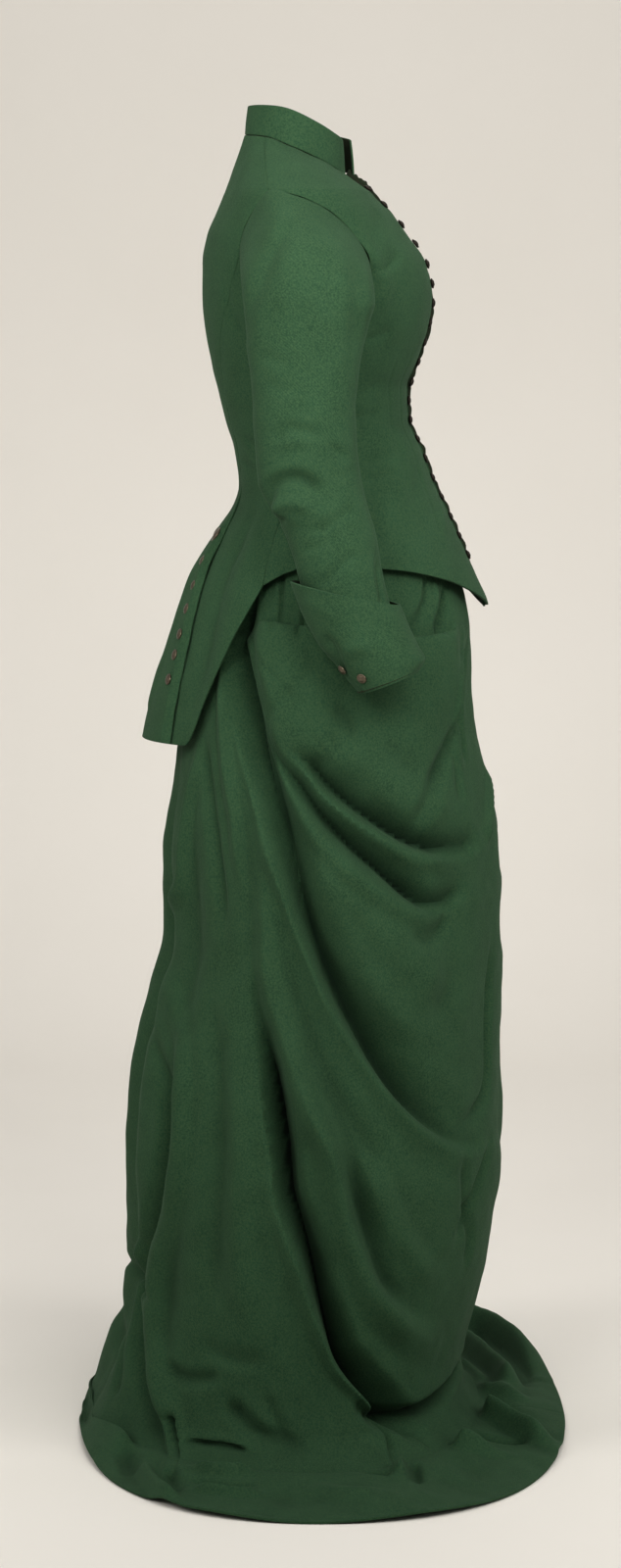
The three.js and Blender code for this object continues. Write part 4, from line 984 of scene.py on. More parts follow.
HEM_FULLNESS = 2.35
FLOOR_CLEARANCE = 0.2
SKIRT_RADIUS = 225


def skirt_ring(angle, height):
    middle = read(SKIRT, height, 5)
    c, s = np.cos(angle * DEG), np.sin(angle * DEG)
    reach_y = np.where(c > 0, middle - read(SKIRT, height, 1), read(SKIRT, height, 2) - middle)
    reach_x = np.where(s > 0, read(SKIRT, height, 3), read(SKIRT, height, 4))
    return np.stack([-reach_x * s, middle - reach_y * c, height], 1)


def hem_point(angle):
    c, s = np.cos(angle * DEG), np.sin(angle * DEG)
    fuller = (np.abs(c) ** HEM_FULLNESS + np.abs(s) ** HEM_FULLNESS) ** (-1 / HEM_FULLNESS)
    return np.stack([-np.where(s > 0, HEM_RIGHT, HEM_LEFT) * s * fuller,
                     -np.where(c > 0, HEM_FRONT, HEM_BACK) * c * fuller, 0 * angle], 1)


# %% Folds of the skirt, on a flat map: across is the way round, up is the height
def on_skirt(*points):
    return [[-angle * DEG * SKIRT_RADIUS, height] for angle, height in points]


def on_drape(*points):
    """Points [y, height], seen from the right side."""
    line = []
    for y, height in points:
        middle = float(read(SKIRT, height, 5))
        reach = middle - float(read(SKIRT, height,
                                    1)) if y < middle else float(read(SKIRT, height, 2)) - middle
        line.append([math.acos(max(-1, min(1, (middle - y) / reach))) / DEG, height])
    return on_skirt(*line)


drape_folds = [
    # the great valley from the hip to the knee, with the lip of cloth under it
    fold(on_drape([90, 886], [101, 862], [97, 820], [84, 770], [68, 720], [54, 681], [41, 645],
                  [27, 596], [5, 539],
                  [-20, 488], [-52, 436], [-87, 387], [-120, 353], [-152, 330]), 41, 50, 15,
                  crisp=0.55, ends=(0.7, 0.15)),
    fold(on_drape([88, 800], [72, 740], [52, 668], [34, 600], [8, 540], [-20, 482], [-54, 428],
                  [-92, 372], [-140, 326], [-182, 314]),
         -10, 13, 30, crisp=0.1, ends=(0.2, 0.2)),
    fold(on_drape([66, 690], [60, 600], [58, 521], [40, 454], [20, 400], [-7, 337], [-25, 290]),
         -10, 26, 28),
    fold(on_drape([46, 560], [24, 480], [-8, 410], [-36, 360], [-66, 316]), 6, 26, 22),
    # the belly of the drape between the two upper valleys
    fold(on_drape([30, 660], [-20, 610], [-66, 560], [-101, 518], [-128, 492]), -13, 56, 46,
         crisp=0),
    fold(on_drape([70, 690], [50, 640], [10, 580], [-40, 520], [-90, 470], [-140, 440]), -8, 40, 30,
         crisp=0),
    fold(on_drape([62, 760], [42, 732], [19, 705], [-4, 679], [-34, 650], [-59, 630], [-87, 606],
                  [-110, 590], [-138, 592]),
         25, 30, 11, crisp=0.55, ends=(0.1, 0.5)),
    fold(on_drape([40, 708], [10, 672], [-24, 636], [-60, 606], [-96, 584], [-130, 578]), -8, 12,
         20, crisp=0.1),
    fold(on_drape([-84, 566], [-102, 556], [-120, 560], [-136, 580]), 5, 16, 14, crisp=0.2,
         ends=(0.1, 0.1)),
    fold(on_drape([38, 756], [15, 738], [-4, 718], [-34, 694], [-63, 675], [-93, 657], [-122, 646],
                  [-156, 644]),
         25, 30, 10, crisp=0.6, ends=(0.1, 0.5)),
    fold(on_drape([20, 722], [-10, 696], [-50, 668], [-97, 642], [-150, 630]), -9, 12, 20,
         crisp=0.1),
    fold(on_drape([-6, 770], [-50, 734], [-90, 704], [-150, 686]), -10, 40, 30, crisp=0),
    fold(on_drape([-150, 836], [-146, 805], [-135, 772], [-117, 722], [-103, 690], [-95, 668]), 9,
         22, 20, crisp=0.2, ends=(0.3, 0.2)),
    fold(on_drape([-128, 770], [-140, 730], [-146, 690]), 4, 14, 14),
    fold(on_drape([14, 772], [4, 762], [-2, 752]), 2.4, 6, 6),
    fold(on_drape([2, 774], [-8, 766], [-14, 754]), 2.4, 6, 6),
    fold(on_drape([-8, 778], [-18, 768], [-24, 754]), 2.4, 6, 6),
    fold(on_drape([34, 752], [10, 743], [-14, 748]), 2.0, 9, 9),
    fold(on_drape([-6, 800], [-22, 786], [-34, 764]), 5, 18, 18, crisp=0.1),
    # the front of the drape
    fold(on_drape([-147, 865], [-140, 843], [-133, 820], [-131, 780], [-134, 740]), -5, 13, 9,
         ends=(0.3, 0.2)),
    fold(on_drape([-155, 858], [-149, 820], [-147, 770], [-152, 730]), 9, 14, 16, ends=(0.2, 0.2)),
    fold(on_drape([-175, 720], [-178, 680], [-173, 640]), -6, 12, 18),
    # the valley in the lower skirt, and the lobes to its right
    fold(on_drape([74, 500], [64, 440], [57, 390], [48, 335], [43, 290], [32, 262], [19, 228],
                  [5, 180], [-9, 140], [-22, 112],
                  [-50, 80], [-74, 52], [-92, 34]), 52, 36, 10, crisp=0.5, ends=(0.1, 0.8)),
    fold(on_drape([54, 300], [40, 255], [24, 214], [9, 170], [-6, 132], [-18, 112], [-50, 80],
                  [-66, 56]), -12, 8, 22, crisp=0.2),
    fold(on_drape([40, 440], [16, 390], [-7, 338], [-20, 271], [-34, 230], [-52, 187], [-87, 144],
                  [-119, 119]), -15, 26, 30, crisp=0.1),
    fold(on_drape([-16, 350], [-33, 290], [-46, 250], [-64, 200], [-90, 166]), 11, 24, 16,
         crisp=0.2),
    fold(on_drape([-40, 330], [-64, 280], [-90, 228], [-120, 180]), -7, 26, 24, crisp=0.1),
    fold(on_drape([-145, 330], [-152, 270], [-158, 225], [-150, 190]), 6, 14, 14),
    fold(on_drape([-40, 66], [-60, 52], [-90, 46], [-120, 50], [-146, 62], [-160, 66]), 34, 17, 13,
         crisp=0.3, ends=(0.3, 0.2)),
    fold(on_drape([-66, 48], [-70, 34], [-74, 20]), 14, 9, 7, ends=(0.4, 0.8)),
    # behind the drape
    fold(on_drape([106, 850], [104, 790], [100, 730], [90, 669], [84, 600]), -9, 14, 22,
         ends=(0.2, 0.1)),
    fold(on_drape([128, 770], [122, 700], [112, 630], [104, 560]), 8, 18, 22),
    fold(on_drape([129, 758], [142, 700], [149, 640], [153, 594], [164, 560]), -8, 20, 18),
    fold(on_drape([160, 600], [164, 560], [163, 530]), 6, 12, 12),
    fold(on_drape([120, 500], [112, 420], [110, 330], [116, 240], [120, 150]), 7, 30, 34),
    fold(on_drape([96, 430], [90, 330], [88, 230], [84, 120]), -6, 34, 30),
    fold(on_drape([166, 519], [158, 470], [152, 419], [152, 346], [160, 283], [168, 234],
                  [176, 194], [180, 148], [181, 107], [175, 71],
                  [161, 39], [148, 4]), -13, 26, 30, crisp=0.1, ends=(0.1, 0.8)),
    fold(on_drape([180, 460], [174, 400], [172, 340], [178, 280], [186, 234], [193, 190],
                  [198, 148], [199, 107], [194, 71], [182, 39],
                  [168, 6]), 19, 20, 20, crisp=0.4, ends=(0.1, 0.8)),
    fold(on_drape([168, 94], [149, 88], [130, 90], [108, 96]), 7, 14, 12, ends=(0.6, 0.1)),
    fold(on_drape([104, 72], [90, 58], [70, 42], [40, 32], [10, 24]), 10, 18, 14),
    fold(on_drape([130, 130], [100, 116], [60, 118]), 4, 20, 16),
    fold(on_drape([60, 84], [52, 60], [40, 40]), 4, 12, 14, ends=(0.2, 0.6)),
    fold(on_drape([160, 50], [158, 34], [154, 16]), 26, 8, 6, crisp=0.6, ends=(0.2, 0.8)),
    fold(on_drape([142, 27], [120, 28], [98, 28], [78, 25]), 17, 6, 6, crisp=0.5, ends=(0.7, 0.1)),
    fold(on_skirt([190, 160], [178, 158], [168, 166], [158, 164], [150, 156]), 10, 14, 10,
         crisp=0.5, ends=(0.6, 0.3)),
    fold(on_skirt([186, 196], [172, 196], [160, 192]), -6, 22, 18, crisp=0.1),
    fold(on_skirt([168, 110], [160, 70], [158, 40]), 8, 16, 16),
    # the seams of the knee, and the side seam under them
    fold(on_drape([85, 873], [58, 846], [32, 817], [17, 803]), 3, 7, 7, crisp=0.8, ends=(0.6, 0.2)),
    fold(on_drape([3, 848], [13, 836], [32, 816], [52, 792], [59, 775]), 3, 7, 7, crisp=0.8,
         ends=(0.2, 0.6)),
    fold(on_drape([92, 500], [90, 400], [88, 300], [84, 150]), 0.9, 3.5, 3.5, crisp=0.8),
    # the front edge
    fold(on_drape([-181, 543], [-177, 459], [-174, 381], [-149, 351]), 8, 16, 12),
    fold(on_drape([-178, 324], [-169, 289], [-155, 257], [-141, 228]), 8, 16, 12),
    # gathers between the waistband and the drape's edge
    fold(on_drape([44, 960], [44, 925], [45, 884]), 5, 10, 8, ends=(0.1, 0.9)),
    fold(on_drape([22, 950], [22, 915], [21, 880]), 5, 9, 9, ends=(0.1, 0.9)),
    fold(on_drape([70, 950], [74, 920], [80, 890]), 4, 12, 12, ends=(0.1, 0.8)),
    fold(on_drape([-30, 955], [-42, 920], [-52, 884]), 4, 12, 12, ends=(0.1, 0.8)),
    fold(on_drape([-108, 935], [-110, 912], [-104, 894], [-92, 876]), 7, 9, 12, ends=(0.1, 0.9)),
    fold(on_drape([-130, 918], [-128, 896], [-120, 876]), 8, 12, 10, ends=(0.1, 0.9)),
    fold(on_drape([-118, 930], [-120, 905], [-113, 884]), -4, 8, 8, ends=(0.1, 0.9)),
]
round_folds = [
    fold(on_skirt([12, 640], [0, 628], [-18, 634], [-30, 655]), 5, 40, 36),
    fold(on_skirt([10, 560], [-8, 540], [-28, 560]), 5, 40, 36),
    fold(on_skirt([15, 345], [0, 300], [-15, 270]), 5, 46, 40),
    fold(on_skirt([-5, 880], [-10, 700], [-14, 540]), 7, 36, 34),
    fold(on_skirt([-25, 600], [-30, 380], [-28, 120], [-24, 20]), 17, 52, 40, ends=(0.1, 0.8)),
    fold(on_skirt([-44, 780], [-48, 500], [-48, 200], [-44, 14]), -17, 50, 50, ends=(0.1, 0.8)),
    fold(on_skirt([-62, 860], [-64, 560], [-62, 250], [-60, 14]), 20, 34, 50, ends=(0.1, 0.8)),
    fold(on_skirt([-80, 700], [-80, 400], [-78, 150], [-78, 14]), -15, 48, 44, ends=(0.1, 0.8)),
    fold(on_skirt([-98, 840], [-96, 560], [-96, 220], [-98, 14]), 19, 48, 34, ends=(0.1, 0.8)),
    fold(on_skirt([-116, 720], [-114, 420], [-116, 14]), -15, 44, 48, ends=(0.1, 0.8)),
    fold(on_skirt([-134, 840], [-132, 520], [-136, 200], [-140, 14]), 19, 36, 44, ends=(0.1, 0.8)),
    fold(on_skirt([148, 740], [147, 520], [143, 300], [146, 14]), 7, 40, 34, ends=(0.1, 0.8)),
    fold(on_skirt([160, 700], [161, 440], [158, 200], [160, 14]), -6, 38, 40, ends=(0.1, 0.8)),
    fold(on_skirt([172, 790], [174, 520], [173, 250], [176, 14]), 11, 36, 44, ends=(0.1, 0.8)),
    fold(on_skirt([186, 740], [188, 460], [189, 200], [192, 14]), -14, 40, 36, ends=(0.1, 0.8)),
    fold(on_skirt([200, 800], [202, 540], [204, 260], [207, 14]), 17, 44, 32, ends=(0.1, 0.8)),
    fold(on_skirt([212, 700], [214, 420], [216, 14]), -12, 36, 38, ends=(0.1, 0.8)),
    fold(on_skirt([-38, 640], [-35, 560], [-36, 470]), 6, 22, 18),
    fold(on_skirt([-72, 420], [-71, 330], [-70, 240]), 6, 20, 22),
    fold(on_skirt([-106, 560], [-105, 460], [-107, 330]), 6, 20, 18),
    fold(on_skirt([180, 460], [181, 360], [181, 260]), 5, 18, 22),
    fold(on_skirt([-55, 130], [-66, 84], [-80, 60]), 8, 20, 18),
    fold(on_skirt([-100, 110], [-112, 76], [-126, 70]), 8, 20, 18),
    fold(on_skirt([194, 120], [180, 80], [166, 74]), 8, 20, 18),
]
skirt_folds = drape_folds + round_folds

# %% [markdown]
# ## The drape's turned edge, and the cloth on the floor
# The top edge of the drape is turned in and stands off the hip like a shallow ledge, with a
# groove behind it. Its section is a small loop that is worked into the rows of the skirt. At
# the floor the cloth runs out in a brim with its own low ridges and hollows, which are listed
# by their place on the floor.

# %% Surface of the skirt
# Columns: angle, height, share of the full ledge.
LEDGE = [[8, 886, 0], [26, 882, 0.2], [42, 872, 0.85], [60, 870, 1], [90, 880, 1], [112, 886, 1],
         [126, 890, 0]]
LEDGE_SECTION = [[24, 0], [-5, 1], [-15, 5], [-13, 11], [-3, 14], [2, 18], [-5, 22], [-20, 24]]
LEDGE_FADE = 150
WALL_FOOT = 16
floor_folds = [
    # the foot of the front panel, and the slot beside it
    fold([[-285, 160], [-320, 156], [-352, 150]], 12, 9, 9, crisp=0.5),
    fold([[-292, 140], [-310, 118], [-318, 92], [-306, 66]], -12, 13, 9, crisp=0.1),
    fold([[-322, 138], [-336, 114], [-350, 92], [-344, 72]], 13, 8, 8, crisp=0.5),
    fold([[-350, 140], [-372, 110], [-380, 84], [-366, 62]], -11, 14, 10, crisp=0.1),
    fold([[-252, 190], [-300, 182], [-352, 168], [-400, 150]], -13, 14, 18, crisp=0.1),
    fold([[-190, 205], [-240, 205], [-290, 200]], 8, 18, 18),
    fold([[-296, 10], [-306, -26], [-317, -52], [-327, -72]], 9, 14, 9, crisp=0.4),
    fold([[-250, -60], [-262, -78], [-300, -80], [-340, -80]], -14, 10, 16, crisp=0.2),
    fold([[-262, -92], [-300, -96], [-338, -98]], 7, 10, 12),
    # the brim in front, under the lobe
    fold([[-110, -70], [-129, -72], [-165, -98], [-190, -122], [-205, -156], [-212, -192]], -20, 16,
         20, crisp=0.1),
    fold([[-60, -118], [-110, -140], [-150, -158], [-162, -192], [-150, -226]], 12, 16, 14,
         crisp=0.3),
    fold([[10, -128], [-39, -158], [-100, -196], [-140, -222], [-180, -244]], -24, 22, 18,
         crisp=0.1),
    fold([[60, -130], [0, -176], [-60, -216]], 8, 22, 20),
    fold([[80, -150], [30, -196], [-10, -226]], -9, 20, 20, crisp=0.1),
    # the far brim, with its deep rim
    fold([[340, -150], [236, -178], [170, -192], [96, -206], [20, -206]], -26, 22, 22, crisp=0.1),
    fold([[420, -170], [330, -192], [250, -210], [170, -220], [90, -226]], 12, 20, 16, crisp=0.3),
    fold([[520, -70], [478, -118], [420, -166], [340, -208], [250, -232], [140, -246]], -25, 26, 22,
         crisp=0.05, ends=(0.2, 0.2)),
    fold([[230, -120], [170, -146], [100, -160]], 8, 16, 16),
    fold([[200, -150], [140, -168], [80, -176]], -7, 14, 14),
    # the sides and the back
    fold([[-80, 236], [-150, 226], [-230, 200]], -14, 20, 26, crisp=0.1),
    fold([[-20, 240], [40, 248], [120, 240], [190, 214]], -13, 20, 26, crisp=0.1),
    fold([[240, 214], [330, 190], [420, 150]], -15, 24, 24, crisp=0.1),
    fold([[400, 100], [460, 40], [470, -40]], -15, 28, 30, crisp=0.1),
    fold([[380, 40], [420, 0], [430, -50]], 8, 22, 22),
    fold([[-350, 20], [-384, -20], [-392, -60]], -6, 22, 26, crisp=0),
]


def skirt_surface(angle, height, out=0.0):
    across = -(angle - 360 * (angle > 262.5)) * DEG * SKIRT_RADIUS
    depth = relief(skirt_folds, across, height) + relief(skirt_folds, across - 360 * DEG
                                                         * SKIRT_RADIUS, height)
    depth -= 0.9 * soft_noise(across, height, 120, 41) + 0.35 * soft_noise(across, height, 40, 42)
    run = skirt_ring(angle + 1, height) - skirt_ring(angle - 1, height)
    normal = unit(np.stack([-run[:, 1], run[:, 0], 0 * angle], 1))
    p = skirt_ring(angle, height)
    normal *= np.where((normal[:, :2] * p[:, :2]).sum(1) < 0, -1, 1)[:, None]
    settled = mix(0.55, 1, smooth((height - 4) / 60))
    return p + normal * (out - depth * settled)[:, None]


def floor_surface(angle, along):
    start = skirt_surface(angle, 0 * angle + WALL_FOOT)
    wave = 7 + 7 * np.sin(5 * angle * DEG + 1) + 6 * np.sin(9 * angle * DEG + 2.4)
    rise = wave * bump((along - 0.55) / 0.6) + 4 * (1 + np.sin(7 * angle * DEG)) * along
    p = mix(start, hem_point(angle), along[:, None])
    height = mix(WALL_FOOT, SKIRT_CLOTH + FLOOR_CLEARANCE,
                 smooth(1.7 * along)) + np.maximum(0, 0.6 * rise)
    height -= relief(floor_folds, p[:, 0], p[:, 1]) * smooth(along / 0.12)
    height += 0.8 * soft_noise(p[:, 0], p[:, 1], 60,
                               43) * smooth(along / 0.2) * smooth((1 - along) / 0.1)
    p[:, 2] = np.maximum(height, SKIRT_CLOTH + FLOOR_CLEARANCE)
    return p


# %% The rows of a skirt panel, from the waist to the hem
UPPER_ROWS, LEDGE_ROWS, LOWER_ROWS, FLOOR_ROWS = 34, 26, 190, 34
ROW_COUNT = UPPER_ROWS + LEDGE_ROWS + LOWER_ROWS + FLOOR_ROWS
RIGHT_SEAM = [[0, 95], [300, 96], [584, 99], [780, 112], [874, 122], [1050, 122]]


def skirt_place(first, last):
    def place(u, v):
        row = np.rint((1 - v) * ROW_COUNT).astype(int)
        points = np.zeros((len(u), 3))

        def angle_at(height, who):
            return mix(first(height), last(height), u[who])

        def turned(angle):
            return np.where(angle > 180, angle - 360, angle)

        upper = row < UPPER_ROWS
        share = row[upper] / UPPER_ROWS
        low = read(LEDGE, turned(angle_at(0 * share + 880, upper)), 1) + LEDGE_SECTION[0][0]
        height = mix(1035.0, low, share)
        points[upper] = skirt_surface(angle_at(height, upper), height)

        ledge = (row >= UPPER_ROWS) & (row < UPPER_ROWS + LEDGE_ROWS)
        k = (row[ledge] - UPPER_ROWS) / LEDGE_ROWS * (len(LEDGE_SECTION) - 1)
        section = walk(LEDGE_SECTION, 10)
        at = np.linspace(0, len(LEDGE_SECTION) - 1, len(section))
        rise, out = np.interp(k, at, section[:, 0]), np.interp(k, at, section[:, 1])
        angle = angle_at(0 * k + 880, ledge)
        amount = smooth(read(LEDGE, turned(angle), 2))
        plain = mix(24, -20, k / (len(LEDGE_SECTION) - 1))
        height = read(LEDGE, turned(angle), 1) + mix(plain, rise, amount)
        points[ledge] = skirt_surface(angle, height, out * amount)

        lower = (row >= UPPER_ROWS + LEDGE_ROWS) & (row < UPPER_ROWS + LEDGE_ROWS + LOWER_ROWS)
        share = (row[lower] - UPPER_ROWS - LEDGE_ROWS) / LOWER_ROWS
        top = read(LEDGE, turned(angle_at(0 * share + 880, lower)), 1) - 20
        height = mix(top, float(WALL_FOOT), 1 - (1 - share) ** 1.25)
        angle = angle_at(height, lower)
        fade = 1 - smooth((850 - height) / LEDGE_FADE)
        out = LEDGE_SECTION[-1][1] * fade * smooth(read(LEDGE,
                                                        turned(angle_at(0 * share + 880, lower)),
                                                        2))
        points[lower] = skirt_surface(angle, height, out)

        ground = row >= UPPER_ROWS + LEDGE_ROWS + LOWER_ROWS
        along = (row[ground] - UPPER_ROWS - LEDGE_ROWS - LOWER_ROWS) / FLOOR_ROWS
        angle = angle_at(WALL_FOOT * (1 - np.clip(3 * along, 0, 1)), ground)
        points[ground] = floor_surface(angle, along)
        return points
    return place


def right_seam(height):
    return read(RIGHT_SEAM, height)


def fixed(angle):
    return lambda height: 0 * height + float(angle)


SKIRT_PANELS = [
    ("skirt_right_drape", fixed(4), right_seam, 150),
    ("skirt_back", right_seam, fixed(262), 160),
    ("skirt_front_left", fixed(262), fixed(364), 114),
]
for name, first, last, across in SKIRT_PANELS:
    piece = make_cloth(f"{name}_cloth", across, ROW_COUNT, skirt_place(first, last), (30, 20, 500),
                       SKIRT_CLOTH,
                       lined=False, edge=0.45)
    stands_for(piece, name)

# %% Waistband
BAND_HALF_WIDTH, BAND_FRONT, BAND_BACK, BAND_BOTTOM, BAND_TOP = 102, -91, 83, 1035.4, 1058


def band_place(u, v):
    turn = 2 * math.pi * u
    reach = np.where(np.cos(turn) > 0, -BAND_FRONT, BAND_BACK)
    return np.stack([-BAND_HALF_WIDTH * np.sin(turn), -reach * np.cos(turn),
                     mix(BAND_BOTTOM, BAND_TOP, v)], 1)


piece = make_cloth("skirt_waistband_cloth", 90, 6, band_place, (0, 0, 1046), SKIRT_CLOTH,
                   lined=False)
stands_for(piece, "skirt_waistband")
print("cloth pieces:", len(cloth_pieces))

# %% [markdown]
# ## Closing the rings
# The cuffs and the waistband are rings, so the grid's first and last columns lie on each
# other. They are welded before the wall gets its thickness.

# %% Weld the rings
for name in ("cuff_right_cloth", "cuff_left_cloth", "skirt_waistband_cloth"):
    mesh = cloth_pieces[name][0].data
    bm = bmesh.new()
    bm.from_mesh(mesh)
    bmesh.ops.remove_doubles(bm, verts=bm.verts, dist=0.00002)
    bmesh.ops.recalc_face_normals(bm, faces=bm.faces)
    middle = sum((v.co for v in bm.verts), Vector()) / len(bm.verts)
    if sum(face.normal.dot(face.calc_center_median() - middle) for face in bm.faces) < 0:
        bmesh.ops.reverse_faces(bm, faces=bm.faces)
    print(name, "open edges:", sum(edge.is_boundary for edge in bm.edges))
    bm.to_mesh(mesh)
    bm.free()

# %% [markdown]
# ## Buttons
# The buttons are small domed metal ones: dark bronze down the front, and paler on the tails
# and cuffs, where they have kept their plating. Each is a profile turned round its axis, with
# a rolled rim and a shallow groove.

# %% Metal
def metal_material(name, colour, roughness):
    material = bpy.data.materials.new(name)
    material.use_nodes = True
    tree = material.node_tree
    shader = tree.nodes["Principled BSDF"]
    place = tree.nodes.new("ShaderNodeTexCoord").outputs["Object"]
    spots = noise_node(tree, place, 700, 3, 0.6)
    dull = tuple(0.45 * c for c in colour[:3]) + (1,)
    tree.links.new(colour_mix(tree, spots, dull, colour), shader.inputs["Base Color"])
    rough = math_node(tree, "MULTIPLY_ADD", spots, 0.3)
    rough.node.inputs[2].default_value = roughness
    tree.links.new(rough, shader.inputs["Roughness"])
    shader.inputs["Metallic"].default_value = 0.85
    return material


bronze = metal_material("Dark bronze", (0.05, 0.04, 0.032, 1), 0.35)
plated = metal_material("Worn plate", (0.2, 0.165, 0.12, 1), 0.2)

# %% Turned buttons that stand where the model's plain ones are
BUTTON_PROFILE = [[0, 1], [0.35, 0.95], [0.62, 0.78], [0.74, 0.6], [0.82, 0.64], [0.94, 0.58],
                  [1, 0.42], [0.96, 0.2], [0.7, 0], [0, 0]]


def make_button(node, material, turns=20):
    """The node's own box gives the middle, and its flattest direction gives the axis."""
    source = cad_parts[node]
    spots = np.array([v.co[:] for v in source.data.vertices])
    middle = spots.mean(0)
    values, axes = np.linalg.eigh(np.cov((spots - middle).T))
    axis = Vector(axes[:, 0])
    body = Vector((0, 0.01, middle[2]))
    if axis.dot(Vector(middle) - body) < 0:
        axis.negate()
    along = (spots - middle) @ np.array(axis)
    radial = np.linalg.norm(spots - middle - np.outer(along, axis), axis=1)
    radius, height, base = radial.max(), along.max() - along.min(), along.min()
    bm = bmesh.new()
    chain = [bm.verts.new((r * radius, 0, base + z * height)) for r, z in BUTTON_PROFILE]
    edges = [bm.edges.new(pair) for pair in zip(chain, chain[1:])]
    bmesh.ops.spin(bm, geom=chain + edges, cent=(0, 0, 0), axis=(0, 0, 1), angle=2 * math.pi,
                   steps=turns, use_merge=True)
    bmesh.ops.remove_doubles(bm, verts=bm.verts, dist=0.00001)
    bmesh.ops.recalc_face_normals(bm, faces=bm.faces)
    turn = axis.to_track_quat("Z", "Y").to_matrix().to_4x4()
    bmesh.ops.transform(bm, matrix=turn, verts=bm.verts)
    bmesh.ops.translate(bm, vec=Vector(middle), verts=bm.verts)
    mesh = bpy.data.meshes.new(f"{node}_turned")
    bm.to_mesh(mesh)
    bm.free()
    mesh.shade_smooth()
    mesh.materials.append(material)
    piece = bpy.data.objects.new(f"{node}_turned", mesh)
    bpy.context.collection.objects.link(piece)
    stands_for(piece, node)
    return piece


for k in range(1, 21):
    make_button(f"front_button_{k}", bronze)
for side in ("right", "left"):
    for k in range(1, 8):
        make_button(f"tail_button_{side}_{k}", plated)
    for k in (1, 2):
        make_button(f"cuff_button_{side}_{k}", plated)

# %% [markdown]
# ## The cloth's sizes
# Each piece of cloth is printed with the size it was cut to. A formed piece was cut flat and
# shaped by seams, darts and the iron, so its flat size is that of its own grid.

# %% Sheets
for name, (piece, width, length, area) in cloth_pieces.items():
    print(f"{name}: {width:.3f} x {length:.3f} m, {area:.3f} square metres")

# %% [markdown]
# ## Floor, light and camera
# The habit stands on pale paper that curves up behind it. A large soft light hangs to the
# front and above, with a weaker one behind the camera, as for a museum's record: the folds
# keep their form, but no shadow is black.

# %% Paper floor and backdrop
FLOOR_Z = -WAIST_HEIGHT * MM


def paper():
    bm = bmesh.new()
    profile = [(-1.4, 0.0), (2.2, 0.0)]
    profile += [(2.2 + 1.2 * math.sin(t), 1.2 - 1.2 * math.cos(t))
                for t in np.linspace(0.1, math.pi / 2, 12)]
    profile += [(3.4, 2.6)]
    line = [bm.verts.new((x, -2.4, FLOOR_Z + z)) for x, z in profile]
    edges = [bm.edges.new(pair) for pair in zip(line, line[1:])]
    swept = bmesh.ops.extrude_edge_only(bm, edges=edges)
    moved = [item for item in swept["geom"] if isinstance(item, bmesh.types.BMVert)]
    bmesh.ops.translate(bm, vec=(0, 4.8, 0), verts=moved)
    bmesh.ops.recalc_face_normals(bm, faces=bm.faces)
    if sum(face.normal.z - face.normal.x for face in bm.faces) < 0:
        bmesh.ops.reverse_faces(bm, faces=bm.faces)
    mesh = bpy.data.meshes.new("paper_backdrop")
    bm.to_mesh(mesh)
    bm.free()
    mesh.shade_smooth()
    floor = bpy.data.objects.new("paper_backdrop", mesh)
    bpy.context.collection.objects.link(floor)
    material = bpy.data.materials.new("Pale paper")
    material.use_nodes = True
    tree = material.node_tree
    shader = tree.nodes["Principled BSDF"]
    grain = noise_node(tree, tree.nodes.new("ShaderNodeTexCoord").outputs["Object"], 3, 3)
    tone = colour_mix(tree, grain, (0.80, 0.775, 0.725, 1), (0.83, 0.805, 0.76, 1))
    tree.links.new(tone, shader.inputs["Base Color"])
    shader.inputs["Roughness"].default_value = 0.95
    shader.inputs["Specular IOR Level"].default_value = 0.1
    one_sided = tree.nodes.new("ShaderNodeMixShader")
    tree.links.new(tree.nodes.new("ShaderNodeNewGeometry").outputs["Backfacing"],
                   one_sided.inputs[0])
    tree.links.new(shader.outputs[0], one_sided.inputs[1])
    tree.links.new(tree.nodes.new("ShaderNodeBsdfTransparent").outputs[0], one_sided.inputs[2])
    tree.links.new(one_sided.outputs[0], tree.nodes["Material Output"].inputs["Surface"])
    mesh.materials.append(material)
    return floor


paper()


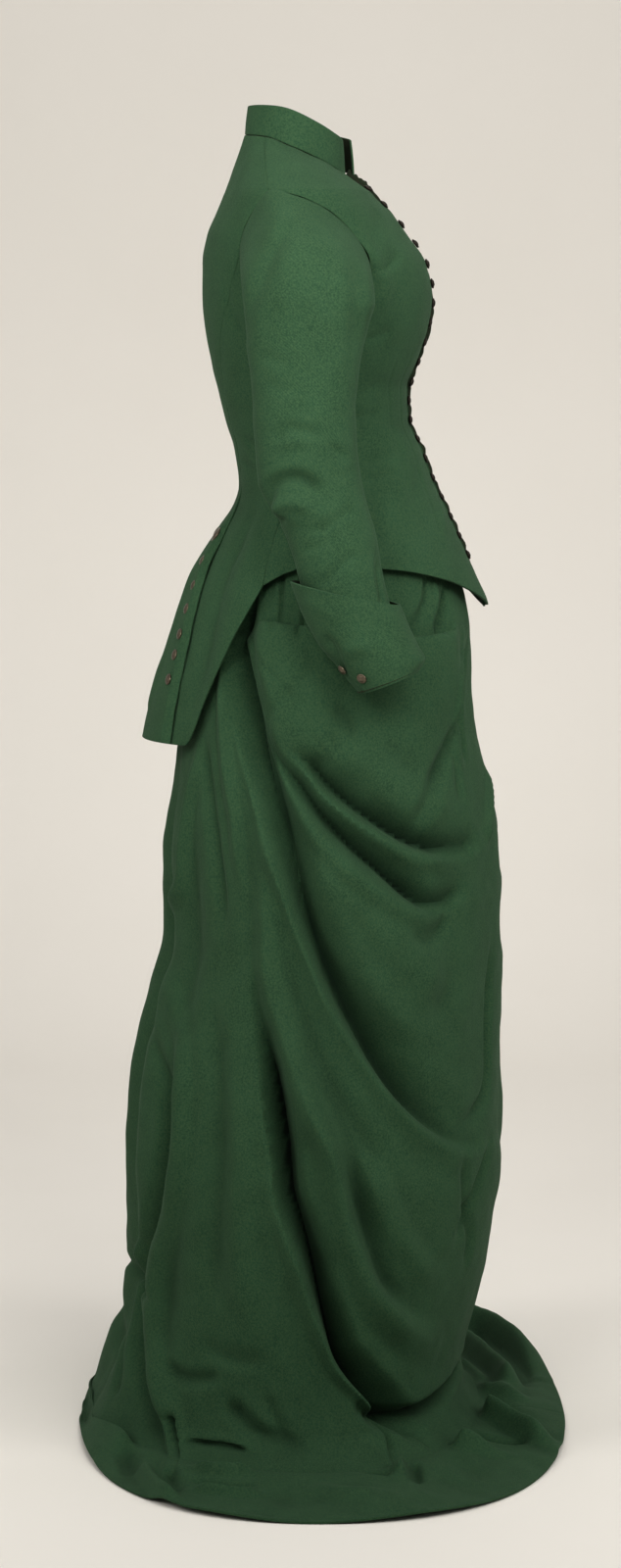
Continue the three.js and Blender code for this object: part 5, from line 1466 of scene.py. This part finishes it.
# %% Lights
def area_light(name, place, target, size, power, colour, spread=180):
    data = bpy.data.lights.new(name, "AREA")
    data.shape, data.size, data.size_y = "RECTANGLE", size[0], size[1]
    data.energy, data.color, data.spread = power, colour, spread * DEG
    lamp = bpy.data.objects.new(name, data)
    bpy.context.collection.objects.link(lamp)
    lamp.location = place
    lamp.rotation_euler = (Vector(target) - Vector(place)).to_track_quat("-Z", "Y").to_euler()
    return lamp


WARM = (1.0, 0.975, 0.945)
area_light("Key", (-1.5, -1.0, 1.2), (-0.15, 0, 0.0), (0.9, 1.2), 11.5, WARM)
area_light("High", (-2.4, -0.4, 2.2), (-0.1, 0, 0.1), (1.0, 1.0), 5, WARM)
area_light("Front side", (-1.3, -2.2, 0.9), (0, -0.1, 0.0), (0.9, 1.6), 18, WARM)
area_light("Back side", (-1.3, 2.2, 0.8), (0, 0.1, 0.0), (0.9, 1.6), 18, WARM)
area_light("Jacket, front", (-2.4, -0.6, 1.1), (-0.15, 0, 0.25), (0.8, 0.8), 3, WARM, 55)
area_light("Jacket, back", (-2.4, 0.8, 0.9), (-0.15, 0.05, 0.2), (0.8, 0.8), 3.6, WARM, 55)
area_light("Overhead", (-0.9, 0, 3.0), (-0.9, 0, -1.0), (2.4, 4.4), 15, WARM)
area_light("Paper", (2.2, 0, 2.7), (2.6, 0, -1.0), (2.0, 4.4), 28, WARM)
world = bpy.data.worlds.new("Studio")
bpy.context.scene.world = world
world.use_nodes = True
world.node_tree.nodes["Background"].inputs["Color"].default_value = (1.0, 0.98, 0.95, 1)
world.node_tree.nodes["Background"].inputs["Strength"].default_value = 0.31

# %% Camera
camera_data = bpy.data.cameras.new("Camera")
camera_data.sensor_width = 36
camera_data.lens = 106.2
camera = bpy.data.objects.new("Camera", camera_data)
bpy.context.collection.objects.link(camera)
camera.location = (-5.0, 0.0138, 0.190)
camera.rotation_euler = ((90 - 6.29) * DEG, 0, -90 * DEG)
bpy.context.scene.camera = camera
bpy.context.scene.view_settings.view_transform = "Standard"
bpy.context.scene.view_settings.look = "Medium High Contrast"
